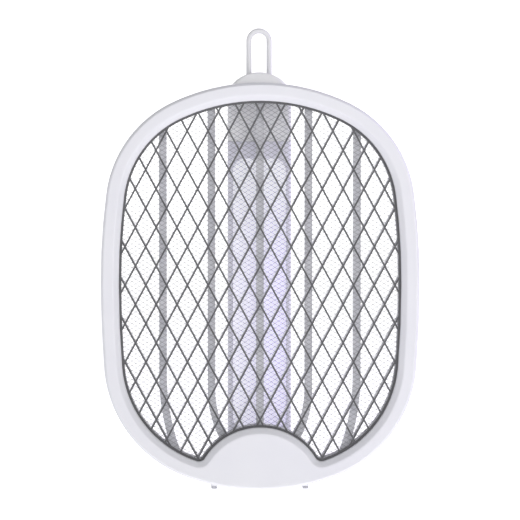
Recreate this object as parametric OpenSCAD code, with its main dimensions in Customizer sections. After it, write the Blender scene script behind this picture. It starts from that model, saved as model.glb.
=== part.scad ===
// Folding electric fly swatter: an oval zapper head that hinges on a battery handle.
// The handle is folded flat behind the head and the swatter stands on its two feet.
// +X is right, +Y points from the front net to the back of the handle, +Z is up.
// The origin is on the standing surface, in the middle of the width and the depth.

/* [Head] */
// Width of the head
head_w = 190; // [180:1:200]
// Height of the head, from its lowest to its highest point
head_h = 243; // [241:1:250]
// Thickness of the head
head_t = 22; // [22:0.5:24]
// Width of the rim around the net
rim_w = 11.2; // [10.5:0.1:12.5]
// Radius of the half-moon at the bottom of the net
moon_r = 39.4; // [37:0.2:41]
// Wall thickness of the head shells
head_wall = 2.2; // [2:0.1:2.4]

/* [Nets] */
// Width of one diamond of the outer nets
net_pitch_x = 12.4; // [11:0.1:14]
// Height of one diamond of the outer nets
net_pitch_z = 23; // [20:0.5:26]
// Width of a strand of the outer nets
net_strand = 1; // [0.9:0.05:1.4]
// Thickness of the outer nets
net_t = 1; // [0.8:0.1:1]
// Thickness of the fine high-voltage grid
grid_t = 0.3; // [0.2:0.05:0.4]
// Distance between two ribs behind the grid
rib_pitch = 29; // [28:0.5:30]
// Width of a rib
rib_w = 4.6; // [3.6:0.1:5]

/* [Handle] */
// Width of the handle
grip_w = 38; // [37:0.5:40]
// Thickness of the handle
grip_t = 27; // [27:0.5:29]
// Wall thickness of the handle shells
grip_wall = 2; // [1.8:0.1:2]
// Gap between the head and the folded handle
fold_gap = 1.5; // [1.2:0.1:2.5]
// Height of the handle's highest point when folded
grip_top = 249.5; // [249:0.5:253]
// Height of the joint between the handle shells and the end cap
cap_z = 208; // [207:1:210]

/* [Hinge] */
// Height of the hinge axis above the feet
hinge_z = 11; // [11:0.5:12]
// Outer radius of the knuckle's barrel
barrel_r = 8; // [7.5:0.1:8.2]
// Radius of the hinge pin
pin_r = 3; // [2.8:0.1:3.2]
// Distance from the middle to the inner face of an ear
ear_in = 21.2; // [21:0.1:22]
// Distance from the middle to the outer face of an ear
ear_out = 29.2; // [29:0.1:30]

/* [Hanging loop] */
// Radius of the loop's rod
loop_rod = 1.6; // [1.4:0.1:1.7]
// Radius of the loop's bend, to the middle of the rod
loop_r = 6.1; // [5.6:0.1:6.4]
// Height of the loop's highest point when pulled out
loop_top = 276; // [274:0.5:278]

/* [Controls] */
// Diameter of the zap button
button_d = 13; // [11:0.5:14]
// Travel of the zap button
button_travel = 1.2; // [0.8:0.1:1.4]
// Travel of the mode switch, over its three positions
switch_travel = 6; // [5:0.5:7]

/* [Hidden] */
$fn = 64;

// Depth levels, from the front of the head to the back of the handle.
knob_proud = 0.8;
depth = head_t + fold_gap + grip_t + knob_proud;
front_y = -depth / 2;
back_y = front_y + head_t;
part_y = front_y + head_t / 2;
net_depth = 5;
front_net_y = front_y + net_depth;
rear_net_y = back_y - net_depth - net_t;
grid_y = front_y + 9.6;
grip_front_y = back_y + fold_gap;
grip_back_y = grip_front_y + grip_t;
grip_mid_y = grip_front_y + grip_t / 2;
hinge_y = back_y + 6.5;

// Outline of the head: tangent arcs as [radius, sweep], from the middle of the top or
// bottom. The last arc of each half ends on a short straight side.
foot_drop = 0.5;
crown_arcs = [[122, 25.5], [69.7, 57]];
belly_arcs = [[128, 20], [75.3, 65.5]];
half_w = head_w / 2;

// Radius of the last arc, which takes the outline out to its full half width.
function side_r(a) =
    let (t1 = a[0][1], t2 = t1 + a[1][1])
    (half_w - a[0][0] * sin(t1) - a[1][0] * (sin(t2) - sin(t1))) / (1 - sin(t2));
function all_arcs(a) = concat(a, [[side_r(a), 90 - a[0][1] - a[1][1]]]);

// Points of one quarter from its pole to its side, with every radius less the inset.
function arc_step(p, r, a0, a1) = [p[0] + r * (sin(a1) - sin(a0)), p[1] + r * (cos(a0) - cos(a1))];
function quarter(arcs, inset, p = [0, 0], start = 0, i = 0, steps = [6, 14, 4]) =
    i == len(arcs) ? [] :
    let (r = arcs[i][0] - inset, sweep = arcs[i][1], n = steps[i])
    concat(
        [for (k = [1:n]) arc_step(p, r, start, start + sweep * k / n)],
        quarter(arcs, inset, arc_step(p, r, start, start + sweep), start + sweep, i + 1, steps)
    );
function crown(inset) =
    [for (p = quarter(all_arcs(crown_arcs), inset)) [p[0], foot_drop + head_h - inset - p[1]]];
function belly(inset) = [for (p = quarter(all_arcs(belly_arcs), inset)) [p[0], foot_drop + inset + p[1]]];
function mirrored(pts) = [for (i = [len(pts) - 1:-1:0]) [-pts[i][0], pts[i][1]]];
function backwards(pts) = [for (i = [len(pts) - 1:-1:0]) pts[i]];
function outline(inset) = concat(
    [[0, foot_drop + inset]], belly(inset), backwards(crown(inset)),
    [[0, foot_drop + head_h - inset]], mirrored(backwards(crown(inset))), mirrored(belly(inset))
);

// The net opening: the outline moved in, less the half-moon, with rounded lower corners.
// grow moves the whole edge outwards.
cusp_r = 4;
moon_z = foot_drop - 1.8;
belly_z = foot_drop + belly_arcs[0][0];
// A lower corner's [centre, radius, half-moon's radius, angle at the half-moon, angle at the outline].
function cusp(grow) =
    let (
        f = cusp_r + grow,
        rb = belly_arcs[0][0] - rim_w + grow - f,
        rm = moon_r - grow + f,
        d = belly_z - moon_z,
        up = (rm * rm - rb * rb + d * d) / (2 * d),
        side = sqrt(rm * rm - up * up)
    )
    [[side, moon_z + up], f, moon_r - grow, atan2(up, side), atan2(side, d - up)];
function opening(grow) =
    let (
        c = cusp(grow),
        moon = [for (k = [0:14]) let (t = 90 + (c[3] - 90) * k / 14) [c[2] * cos(t), moon_z + c[2] * sin(t)]],
        corner = [for (k = [1:8]) let (t = 180 + c[3] + (90 - c[3] + c[4]) * k / 8)
            [c[0][0] + c[1] * cos(t), c[0][1] + c[1] * sin(t)]],
        inset = rim_w - grow,
        side_pts = [for (p = belly(inset)) if (p[0] > corner[7][0] + 0.2) p],
        right = concat(moon, corner, side_pts, backwards(crown(inset)))
    )
    concat(right, [[0, foot_drop + head_h - inset]], [for (p = mirrored(right)) if (p[0] < -0.001) p]);

// A flat shape in X and Z made solid from depth y0 to y1.
module slab(y0, y1) {
    translate([0, y1, 0]) rotate([90, 0, 0]) linear_extrude(y1 - y0) children();
}
// A flat shape in Y and Z made solid from x0 to x1.
module side_slab(x0, x1) {
    translate([x0, 0, 0]) rotate([90, 0, 90]) linear_extrude(x1 - x0) children();
}
module block(x0, x1, y0, y1, z0, z1) {
    translate([x0, y0, z0]) cube([x1 - x0, y1 - y0, z1 - z0]);
}
module rod_x(r, x0, x1, y, z) {
    translate([x0, y, z]) rotate([0, 90, 0]) cylinder(r = r, h = x1 - x0);
}
module rod_y(r, y0, y1, x, z) {
    translate([x, y1, z]) rotate([90, 0, 0]) cylinder(r = r, h = y1 - y0);
}
module both_sides() {
    children();
    mirror([1, 0, 0]) children();
}
module ring(outer, inner) {
    difference() {
        polygon(outer);
        polygon(inner);
    }
}

// ---- head shells ----
// The outer edge and the edge of the opening step down in three levels.
edge_in = [1.7, 0.6, 0];
bevel_out = [1.5, 0.6, 0];
edge_depth = [0, 0.5, 1.5];
locate_in = 4;
locate_out = 5.2;
boss_r = 2.5;
boss_inset = 4.4;
screw_r = 1.1;
screw_head_r = 1.9;
half_t = head_t / 2;
screw_points = let (p = outline(boss_inset), n = len(p)) [for (k = [0:7]) p[round((k + 0.5) * n / 8)]];
head_screw_points = concat(screw_points, [[-17, 27], [17, 27]]);

// Half of the head, by depth from its outer face. The lip holds the nets.
module half_head(lip) {
    for (k = [0:2]) slab(edge_depth[k], head_wall) ring(outline(edge_in[k]), opening(bevel_out[k]));
    slab(edge_depth[2], half_t) ring(outline(0), outline(head_wall));
    slab(edge_depth[2], lip) ring(opening(1.8), opening(0));
    slab(edge_depth[2], half_t) ring(opening(locate_out), opening(locate_in));
    for (p = head_screw_points) rod_y(boss_r, head_wall - 0.2, half_t, p[0], p[1]);
}
module head_front_shell() {
    color("white") difference() {
        translate([0, front_y, 0]) half_head(net_depth);
        for (p = head_screw_points) rod_y(screw_r - 0.15, front_y + 3, part_y + 1, p[0], p[1]);
        block(-11.5, 11.5, front_net_y + net_t, part_y + 1, 28, 34.4);
    }
}

foot_in = 25.6;
foot_h = 1.4;
foot_y0 = part_y + 0.6;
foot_y1 = hinge_y + 13;
channel_r = 1.2;
channel_x = 27.9;
cap_t = 1;
module ear_profile() {
    translate([hinge_y, hinge_z]) circle(r = barrel_r + 0.3);
    polygon([
        [back_y - 0.5, hinge_z - 6], [hinge_y, hinge_z - 6],
        [hinge_y, hinge_z + barrel_r + 0.3], [back_y - 0.5, hinge_z + barrel_r + 6]
    ]);
}
module foot_profile() {
    polygon([
        [foot_y0, foot_h], [foot_y1, foot_h], [foot_y1, foot_h + 2.2], [hinge_y + 7, hinge_z],
        [hinge_y, hinge_z], [back_y - head_wall, hinge_z], [back_y - head_wall, 7], [foot_y0, 7]
    ]);
}
module head_rear_shell() {
    color("white") difference() {
        union() {
            translate([0, back_y, 0]) mirror([0, 1, 0]) half_head(net_depth);
            block(-ear_out, ear_out, back_y - 4.5, back_y - 1, hinge_z - 6, hinge_z + 12);
            both_sides() {
                side_slab(ear_in, ear_out) ear_profile();
                side_slab(foot_in, ear_out) foot_profile();
            }
        }
        rod_x(barrel_r + 0.5, -ear_in, ear_in, hinge_y, hinge_z);
        block(-11.5, 11.5, part_y - 1, rear_net_y, 28, 34.4);
        both_sides() {
            rod_x(pin_r + 0.02, ear_in - 1, ear_out + 1, hinge_y, hinge_z);
            rod_x(6, ear_out - cap_t, ear_out + 1, hinge_y, hinge_z);
            rod_y(channel_r, back_y - 6, hinge_y, channel_x - 0.4, hinge_z);
        }
        for (p = head_screw_points) {
            rod_y(screw_r + 0.15, part_y - 1, back_y + 1, p[0], p[1]);
            rod_y(screw_head_r + 0.2, back_y - 3, back_y + 1, p[0], p[1]);
        }
    }
}

// ---- nets ----
// Diamonds in rows that step half a pitch, cut from the net's sheet.
rows = 11;
columns = 8;
module diamond(w, h) {
    polygon([[-w / 2, 0], [0, -h / 2], [w / 2, 0], [0, h / 2]]);
}
module net_cells() {
    lean = sqrt(net_pitch_x * net_pitch_x + net_pitch_z * net_pitch_z);
    cell_w = net_pitch_x - net_strand * lean / net_pitch_z;
    cell_h = net_pitch_z - net_strand * lean / net_pitch_x;
    for (j = [-rows:rows], i = [-columns:columns])
        translate([(i + (j % 2 == 0 ? 0 : 0.5)) * net_pitch_x, net_centre_z + j * net_pitch_z / 2])
            diamond(cell_w, cell_h);
}
net_centre_z = 122.7;
net_edge = 1;
// The sheet less its cells. The two offsets drop slivers along the edge.
module net_sheet() {
    offset(delta = 0.15) offset(delta = -0.15) difference() {
        polygon(opening(locate_in - 0.2));
        intersection() {
            net_cells();
            polygon(opening(-net_edge));
        }
    }
}
module front_net() {
    color("dimgray") slab(front_net_y, front_net_y + net_t) net_sheet();
}
module rear_net() {
    color("dimgray") slab(rear_net_y, rear_net_y + net_t) net_sheet();
}
module high_voltage_grid() {
    color("silver") slab(grid_y, grid_y + grid_t) polygon(opening(locate_in - 0.2));
}
module front_spacer_ring() {
    color("gainsboro") difference() {
        slab(front_net_y + net_t, grid_y) ring(opening(locate_in - 0.2), opening(0.4));
        tab_notch();
    }
}

// A rib runs straight down and then bends towards the middle on an arc.
rib_depth = 4;
inner_bend = [60, 62];
outer_bend = [68, 130];
module rib(x, bend_z, bend_r) {
    translate([x - rib_w / 2, bend_z]) square([rib_w, head_h]);
    intersection() {
        translate([x + bend_r, bend_z]) difference() {
            circle(r = bend_r + rib_w / 2, $fn = 180);
            circle(r = bend_r - rib_w / 2, $fn = 180);
        }
        translate([x - rib_w, 10]) square([30, bend_z - 10]);
    }
}
module rib_frame() {
    color("darkgray") {
        difference() {
            slab(grid_y + grid_t, rear_net_y) ring(opening(locate_in - 0.2), opening(0.4));
            tab_notch();
        }
        slab(grid_y + grid_t, grid_y + grid_t + rib_depth) intersection() {
            polygon(opening(2));
            union() {
                translate([-rib_w / 2, 20]) square([rib_w, head_h]);
                both_sides() {
                    rib(-rib_pitch, inner_bend[0], inner_bend[1]);
                    rib(-2 * rib_pitch, outer_bend[0], outer_bend[1]);
                }
            }
        }
    }
}

// ---- head hardware ----
module screw_y(x, z, head_y, length) {
    rod_y(screw_head_r, head_y - 1.5, head_y, x, z);
    rod_y(screw_r - 0.15, head_y - length, head_y - 1.5, x, z);
}
module head_screws() {
    color("silver") for (p = head_screw_points) screw_y(p[0], p[1], back_y - 1.5, 14);
}
// Brass tabs that press on the nets and on the grid inside the half-moon.
terminal_x = [-9, 0, 9];
terminal_y = [front_net_y + net_t, grid_y - 0.4, rear_net_y - 0.4];
tab_z = 25;
tab_top = 35.1;
module net_terminals() {
    color("goldenrod") for (k = [0:2])
        block(terminal_x[k] - 2, terminal_x[k] + 2, terminal_y[k], terminal_y[k] + 0.4, tab_z, tab_top);
}
// The gap in the rings that the tabs pass through.
module tab_notch() {
    block(-11.5, 11.5, front_net_y + net_t, rear_net_y, 28, tab_top + 0.2);
}
module foot() {
    block(foot_in, ear_out, foot_y0, foot_y1, 0, foot_h);
}
module foot_left() {
    color("lightgray") mirror([1, 0, 0]) foot();
}
module foot_right() {
    color("lightgray") foot();
}
pin_half = 25.6;
sleeve_in = 7;
sleeve_r = 5;
sleeve_gap = 0.03;
module hinge_pin() {
    color("silver") difference() {
        rod_x(pin_r, -pin_half, pin_half, hinge_y, hinge_z);
        rod_x(pin_r - 1, -pin_half - 1, pin_half + 1, hinge_y, hinge_z);
        block(-3, 3, hinge_y - 1.5, hinge_y + pin_r + 1, hinge_z - pin_r - 1, hinge_z + pin_r + 1);
    }
}
module hinge_cap() {
    rod_x(5.9, ear_out - cap_t, ear_out, hinge_y, hinge_z);
}
module hinge_cap_left() {
    color("lightgray") mirror([1, 0, 0]) hinge_cap();
}
module hinge_cap_right() {
    color("lightgray") hinge_cap();
}

// ---- wires ----
// A tube along a route of points, smoothed by Catmull-Rom, with eight sides.
function unit(v) = v / norm(v);
function smooth(p, n = 4) = [for (i = [0:len(p) - 2]) for (k = [0:n - (i == len(p) - 2 ? 0 : 1)])
    let (a = p[max(i - 1, 0)], b = p[i], c = p[i + 1], d = p[min(i + 2, len(p) - 1)], t = k / n)
    0.5 * (2 * b + (c - a) * t + (2 * a - 5 * b + 4 * c - d) * t * t + (3 * b - a - 3 * c + d) * t * t * t)];
module wire(route, r, up = [1, 0, 0]) {
    path = smooth(route);
    m = len(path);
    sides = 8;
    points = [for (i = [0:m - 1])
        let (
            t = unit(path[min(i + 1, m - 1)] - path[max(i - 1, 0)]),
            u = unit(cross(t, up)),
            v = cross(t, u)
        )
        for (k = [0:sides - 1]) path[i] + r * (u * cos(360 * k / sides) + v * sin(360 * k / sides))];
    walls = [for (i = [0:m - 2]) for (k = [0:sides - 1])
        let (a = i * sides + k, b = i * sides + (k + 1) % sides) [a, b, b + sides, a + sides]];
    first_end = [for (k = [sides - 1:-1:0]) k];
    last_end = [for (k = [0:sides - 1]) (m - 1) * sides + k];
    polyhedron(points, concat([first_end], walls, [last_end]));
}
lead_r = 0.7;
// From the middle of the hollow pin, through the ears' channels, to the terminals.
module head_leads() {
    color("firebrick") wire([
        [-3.6, hinge_y, hinge_z], [-14, hinge_y, hinge_z], [-25.4, hinge_y, hinge_z],
        [-27.2, hinge_y - 2.2, hinge_z], [-27.4, back_y - 4.8, hinge_z], [-26, back_y - 8, hinge_z + 2.4],
        [-20, part_y + 1, 16], [-4, grid_y - 1, 20],
        [terminal_x[1], grid_y - 0.2, tab_z - 2.5], [terminal_x[1], grid_y - 0.2, tab_z - 0.2]
    ], lead_r, [0, 0.3, 1]);
    color("dimgray") {
        wire([
            [3.6, hinge_y, hinge_z], [14, hinge_y, hinge_z], [25.4, hinge_y, hinge_z],
            [27.2, hinge_y - 2.2, hinge_z], [27.4, back_y - 4.8, hinge_z], [26, back_y - 8, hinge_z + 2.4],
            [21, rear_net_y - 1, 16], [12, rear_net_y - 0.6, 20],
            [terminal_x[2], rear_net_y - 0.2, tab_z - 2.5], [terminal_x[2], rear_net_y - 0.2, tab_z - 0.2]
        ], lead_r, [0, 0.3, 1]);
        wire([
            [20.2, rear_net_y - 1.4, 16.2], [10, front_net_y + 3, 14], [-4, front_net_y + 2, 17],
            [terminal_x[0], front_net_y + net_t + 0.2, tab_z - 2.5],
            [terminal_x[0], front_net_y + net_t + 0.2, tab_z - 0.2]
        ], lead_r, [0, 0.3, 1]);
    }
}

// ---- hinge knuckle ----
barrel_half = ear_in - 0.4;
neck_half = 13;
neck_y0 = grip_front_y + 2.1;
neck_y1 = grip_front_y + 10.4;
grip_z0 = 24;
tongue_z = 38;
knuckle_screw_z = 30;
module hinge_knuckle() {
    color("whitesmoke") difference() {
        union() {
            rod_x(barrel_r, -barrel_half, barrel_half, hinge_y, hinge_z);
            block(-neck_half, neck_half, neck_y0, neck_y1, hinge_z, tongue_z);
        }
        rod_x(pin_r + 0.3, -barrel_half - 1, barrel_half + 1, hinge_y, hinge_z);
        both_sides() rod_x(sleeve_r, sleeve_in, barrel_half + 1, hinge_y, hinge_z);
        block(-3.5, 3.5, hinge_y - 1.8, hinge_y + 1.8, hinge_z, tongue_z + 1);
        both_sides() rod_y(screw_r - 0.15, neck_y0 - 1, neck_y1 + 1, neck_half - 4, knuckle_screw_z);
    }
}
module friction_sleeve() {
    difference() {
        rod_x(sleeve_r, sleeve_in, barrel_half, hinge_y, hinge_z);
        rod_x(pin_r + sleeve_gap, sleeve_in - 1, barrel_half + 1, hinge_y, hinge_z);
        block(sleeve_in - 1, barrel_half + 1, hinge_y - 0.4, hinge_y + 0.4, hinge_z - sleeve_r - 1, hinge_z);
    }
}
module friction_sleeve_left() {
    color("silver") mirror([1, 0, 0]) friction_sleeve();
}
module friction_sleeve_right() {
    color("silver") friction_sleeve();
}

// ---- handle shells ----
front_corner = 3;
back_corner = 10;
// Half of the handle's section, from the front face or from the back face.
module grip_section(inset) {
    w = grip_w / 2 - inset;
    rf = max(front_corner - inset, 0.3);
    rb = back_corner - inset;
    y0 = grip_front_y + inset;
    y1 = grip_back_y - inset;
    polygon(concat(
        [for (k = [0:6]) let (t = 180 + 15 * k) [-w + rf + rf * cos(t), y0 + rf + rf * sin(t)]],
        [for (k = [0:6]) let (t = 270 + 15 * k) [w - rf + rf * cos(t), y0 + rf + rf * sin(t)]],
        [for (k = [0:8]) let (t = 11.25 * k) [w - rb + rb * cos(t), y1 - rb + rb * sin(t)]],
        [for (k = [0:8]) let (t = 90 + 11.25 * k) [-w + rb + rb * cos(t), y1 - rb + rb * sin(t)]]
    ));
}
// Side view of the handle: a raked lower end and a rounded top.
module grip_side(inset) {
    y0 = grip_front_y + inset;
    y1 = grip_back_y - inset;
    z0 = grip_z0 + inset;
    z1 = grip_top - inset;
    r = 8 - inset;
    polygon(concat(
        [[y0, z0 + 1.5], [y0 + 1.5, z0], [neck_y1 + 3, z0], [y1 - 3, z0 + 8], [y1, z0 + 14]],
        [for (k = [0:6]) let (t = 15 * k) [y1 - r + r * cos(t), z1 - r + r * sin(t)]],
        [for (k = [0:6]) let (t = 90 + 15 * k) [y0 + r / 2 + r / 2 * cos(t), z1 - r / 2 + r / 2 * sin(t)]]
    ));
}
// Front view of the handle: straight sides and a domed top.
module grip_front(inset) {
    w = grip_w / 2 - inset;
    dome = 15.5;
    z = grip_top - dome;
    polygon(concat(
        [[-w, grip_z0 - 5], [w, grip_z0 - 5]],
        [for (k = [0:24]) [w * cos(7.5 * k), z + (dome - inset) * sin(7.5 * k)]]
    ));
}
module grip_solid(inset, z0, z1) {
    intersection() {
        translate([0, 0, z0]) linear_extrude(z1 - z0) grip_section(inset);
        side_slab(-grip_w, grip_w) grip_side(inset);
        slab(grip_front_y - 5, grip_back_y + 5) grip_front(inset);
    }
}
module grip_shell(z0, z1) {
    difference() {
        grip_solid(0, z0, z1);
        grip_solid(grip_wall, z0 - 1, z1 + 1);
    }
}
module front_half() {
    block(-grip_w, grip_w, grip_front_y - 5, grip_mid_y, 0, grip_top + 5);
}
grip_boss_x = 13.9;
grip_boss_z = [46, 126, 199];
grip_boss_r = 2.6;
lens_w = 32;
lens_z0 = 34;
lens_z1 = 198;
lens_t = 2;
lens_lip = 1.2;
socket_z = 106;
socket_y = grip_front_y + 9.9;
module lens_shape(grow) {
    r = 8 + grow;
    w = lens_w / 2 + grow;
    for (z = [lens_z0 - grow + r, lens_z1 + grow - r], s = [-1, 1])
        translate([s * (w - r), z]) circle(r = r);
    translate([-w, lens_z0 - grow + r]) square([2 * w, lens_z1 - lens_z0 + 2 * grow - 2 * r]);
    translate([-w + r, lens_z0 - grow]) square([2 * w - 2 * r, lens_z1 - lens_z0 + 2 * grow]);
}
module socket_hole(grow) {
    for (s = [-1, 1]) rod_x(1.6 + grow, 13, grip_w, socket_y, socket_z + s * 2.85);
    block(13, grip_w, socket_y - 1.6 - grow, socket_y + 1.6 + grow, socket_z - 2.85, socket_z + 2.85);
}
module handle_front_shell() {
    color("lavender") difference() {
        union() {
            intersection() {
                grip_shell(grip_z0, cap_z);
                front_half();
            }
            for (z = grip_boss_z, s = [-1, 1])
                rod_y(grip_boss_r, grip_front_y + 3.5, grip_mid_y, s * grip_boss_x, z);
            both_sides() for (z = grip_boss_z)
                block(grip_boss_x, grip_w / 2 - 1, grip_front_y + 3.5, grip_mid_y, z - 0.8, z + 0.8);
        }
        slab(grip_front_y - 1, grip_front_y + lens_t + 0.1) lens_shape(0.1);
        for (z = grip_boss_z, s = [-1, 1])
            rod_y(screw_r - 0.15, grip_front_y + 5, grip_mid_y + 1, s * grip_boss_x, z);
        block(-neck_half - 0.1, neck_half + 0.1, neck_y0 - 0.1, neck_y1 + 0.1, grip_z0 - 1, grip_z0 + 4);
        both_sides() rod_y(screw_r + 0.2, grip_front_y - 1, neck_y0 + 1, neck_half - 4, knuckle_screw_z);
        both_sides()
            rod_y(screw_head_r + 0.2, grip_front_y - 1, grip_front_y + 1, neck_half - 4, knuckle_screw_z);
        socket_hole(0.2);
    }
}
button_z = 64;
knob_z = 94;
button_r = button_d / 2;
led_z = 79;
knob_w = 8;
knob_l = 12;
slot_w = 3.4;
well = 1;
module handle_back_shell() {
    color("lavender") difference() {
        union() {
            difference() {
                grip_shell(grip_z0, cap_z);
                front_half();
            }
            for (z = grip_boss_z, s = [-1, 1])
                rod_y(grip_boss_r, grip_mid_y, grip_back_y - 3, s * grip_boss_x, z);
        }
        for (z = grip_boss_z, s = [-1, 1]) {
            rod_y(screw_r + 0.2, grip_mid_y - 1, grip_back_y, s * grip_boss_x, z);
            rod_y(screw_head_r + 0.3, grip_back_y - 5.5, grip_back_y + 1, s * grip_boss_x, z);
        }
        rod_y(button_r + 0.3, grip_mid_y, grip_back_y + 1, 0, button_z);
        rod_y(1.5, grip_mid_y, grip_back_y + 1, 0, led_z);
        block(-slot_w / 2, slot_w / 2, grip_mid_y, grip_back_y + 1,
            knob_z - switch_travel / 2 - 2.4, knob_z + switch_travel / 2 + 2.4);
        block(-knob_w / 2 - 0.4, knob_w / 2 + 0.4, grip_back_y - well, grip_back_y + 1,
            knob_z - switch_travel / 2 - knob_l / 2 - 0.4, knob_z + switch_travel / 2 + knob_l / 2 + 0.4);
    }
}
module handle_screws() {
    color("silver") for (z = grip_boss_z, s = [-1, 1]) screw_y(s * grip_boss_x, z, grip_back_y - 4, 14);
}
module knuckle_screws() {
    color("silver") both_sides() {
        rod_y(screw_head_r, grip_front_y, grip_front_y + 1, neck_half - 4, knuckle_screw_z);
        rod_y(screw_r - 0.15, grip_front_y + 1, neck_y1 - 1, neck_half - 4, knuckle_screw_z);
    }
}

// ---- end cap and hanging loop ----
loop_y = grip_mid_y;
loop_hole = 0.3;
ring_r = 3.2;
bar_half = loop_r + loop_rod;
bar_z0 = 237;
bar_z1 = 240;
loop_travel = 18.5;
module end_cap() {
    color("gainsboro") difference() {
        union() {
            grip_shell(cap_z, grip_top + 1);
            difference() {
                union() {
                    grip_solid(grip_wall + 0.1, cap_z - 4, cap_z + 0.5);
                    grip_solid(grip_wall - 0.3, cap_z, cap_z + 2);
                }
                grip_solid(grip_wall + 1.4, cap_z - 5, cap_z + 3);
            }
            intersection() {
                grip_solid(1, cap_z, grip_top);
                block(-12, 12, loop_y - 4.5, loop_y + 4.5, cap_z + 2, grip_top + 1);
            }
        }
        block(-bar_half - 0.3, bar_half + 0.3, loop_y - loop_rod - 0.3, loop_y + loop_rod + 0.3,
            cap_z - 6, bar_z1 + 0.2);
        both_sides() translate([loop_r, loop_y, bar_z1 - 1]) {
            cylinder(r = loop_rod + loop_hole, h = grip_top - bar_z1 + 2);
            cylinder(r = ring_r, h = 4);
        }
    }
}
module hanging_loop() {
    bend_z = loop_top - loop_r - loop_rod;
    color("lightgray") {
        both_sides() translate([loop_r, loop_y, bar_z0 + 1]) cylinder(r = loop_rod, h = bend_z - bar_z0 - 1);
        translate([0, loop_y, bend_z]) rotate([90, 0, 0]) rotate_extrude(angle = 180)
            translate([loop_r, 0]) circle(r = loop_rod);
        block(-bar_half, bar_half, loop_y - loop_rod, loop_y + loop_rod, bar_z0, bar_z1);
    }
}
// Rubber rings round the loop's legs hold it where it is left.
module loop_grips() {
    color("dimgray") both_sides() translate([loop_r, loop_y, bar_z1 + 0.6]) difference() {
        cylinder(r = ring_r, h = 2.4);
        translate([0, 0, -1]) cylinder(r = loop_rod + 0.05, h = 5);
    }
}

// ---- lamp ----
lamp_y = grip_front_y + 4.2;
board_half = 10.8;
board_t = 1.2;
lamp_z0 = 42;
lamp_z1 = 192;
led_count = 6;
module lamp_lens() {
    color("plum") slab(grip_front_y, grip_front_y + lens_t) lens_shape(0);
}
module lamp_board() {
    color("white") block(-board_half, board_half, lamp_y, lamp_y + board_t, lamp_z0, lamp_z1);
}
module lamp_leds() {
    step = (lamp_z1 - lamp_z0 - 20) / (led_count - 1);
    color("khaki") for (k = [0:led_count - 1])
        let (z = lamp_z0 + 10 + k * step) block(-1.4, 1.4, lamp_y - 0.9, lamp_y, z - 1.75, z + 1.75);
}

// ---- boards ----
main_y = grip_front_y + 7;
main_z0 = 42;
main_z1 = 132;
parts_y = main_y + board_t;
control_y = grip_front_y + 18.2;
control_z0 = 54;
control_z1 = 102;
module main_board() {
    color("seagreen") difference() {
        block(-board_half, board_half, main_y, main_y + board_t, main_z0, main_z1);
        for (s = [-1, 1]) rod_y(1.2, main_y - 1, main_y + board_t + 1, s * 8.5, main_z0 + 4);
    }
}
module booster_transformer() {
    color("gold") {
        block(-6.5, 6.5, parts_y, parts_y + 1.6, 112, 126);
        rod_y(4.4, parts_y + 1.6, parts_y + 10.4, 0, 119);
        block(-6.5, 6.5, parts_y + 10.4, parts_y + 12, 112, 126);
        for (s = [-1, 1]) block(s * 5.7 - 0.8, s * 5.7 + 0.8, parts_y + 1.6, parts_y + 10.4, 112, 126);
    }
}
module booster_capacitors() {
    color("chocolate") {
        block(-9, 9, parts_y, parts_y + 8, 47, 54.5);
        block(-9, 9, parts_y, parts_y + 8, 57, 64.5);
    }
    color("midnightblue") rod_y(4, parts_y, parts_y + 9.5, 5.5, 82);
}
module booster_diodes() {
    color("black") for (k = [0:4]) rod_x(1.35, -9, -3.5, parts_y + 1.35, 70 + 5 * k);
    color("tan") for (k = [0:2]) rod_x(1, 1.5, 8, parts_y + 1, 89.5 + 4 * k);
}
module switching_transistor() {
    color("black") block(-9.5, -5, parts_y, parts_y + 4.8, 98, 102);
}
module control_board() {
    color("seagreen") block(-board_half, board_half, control_y, control_y + board_t, control_z0, control_z1);
}
switch_base_y = control_y + board_t;
module tact_switch() {
    color("black") block(-3, 3, switch_base_y, switch_base_y + 1.9, button_z - 3, button_z + 3);
}
module slide_switch_case() {
    color("silver") difference() {
        block(-2.4, 2.4, switch_base_y, switch_base_y + 2.6, knob_z - 7, knob_z + 7);
        block(-1.1, 1.1, switch_base_y + 1, switch_base_y + 3,
            knob_z - switch_travel / 2 - 1.4, knob_z + switch_travel / 2 + 1.4);
    }
}
module indicator_light() {
    color("honeydew") rod_y(1.4, switch_base_y, grip_back_y - 0.1, 0, led_z);
}
socket_end = grip_w / 2 - 0.6;
module charging_socket() {
    color("silver") difference() {
        union() {
            for (s = [-1, 1]) rod_x(1.6, board_half - 1.8, socket_end, socket_y, socket_z + s * 2.85);
            block(board_half - 1.8, socket_end, socket_y - 1.6, socket_y + 1.6, socket_z - 2.85, socket_z + 2.85);
        }
        for (s = [-1, 1]) rod_x(1.3, board_half - 0.8, grip_w / 2, socket_y, socket_z + s * 2.85);
        block(board_half - 0.8, grip_w / 2, socket_y - 1.3, socket_y + 1.3, socket_z - 2.85, socket_z + 2.85);
    }
    color("black")
        block(board_half - 0.8, grip_w / 2 - 2, socket_y - 0.35, socket_y + 0.35, socket_z - 3.3, socket_z + 3.3);
}

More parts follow.
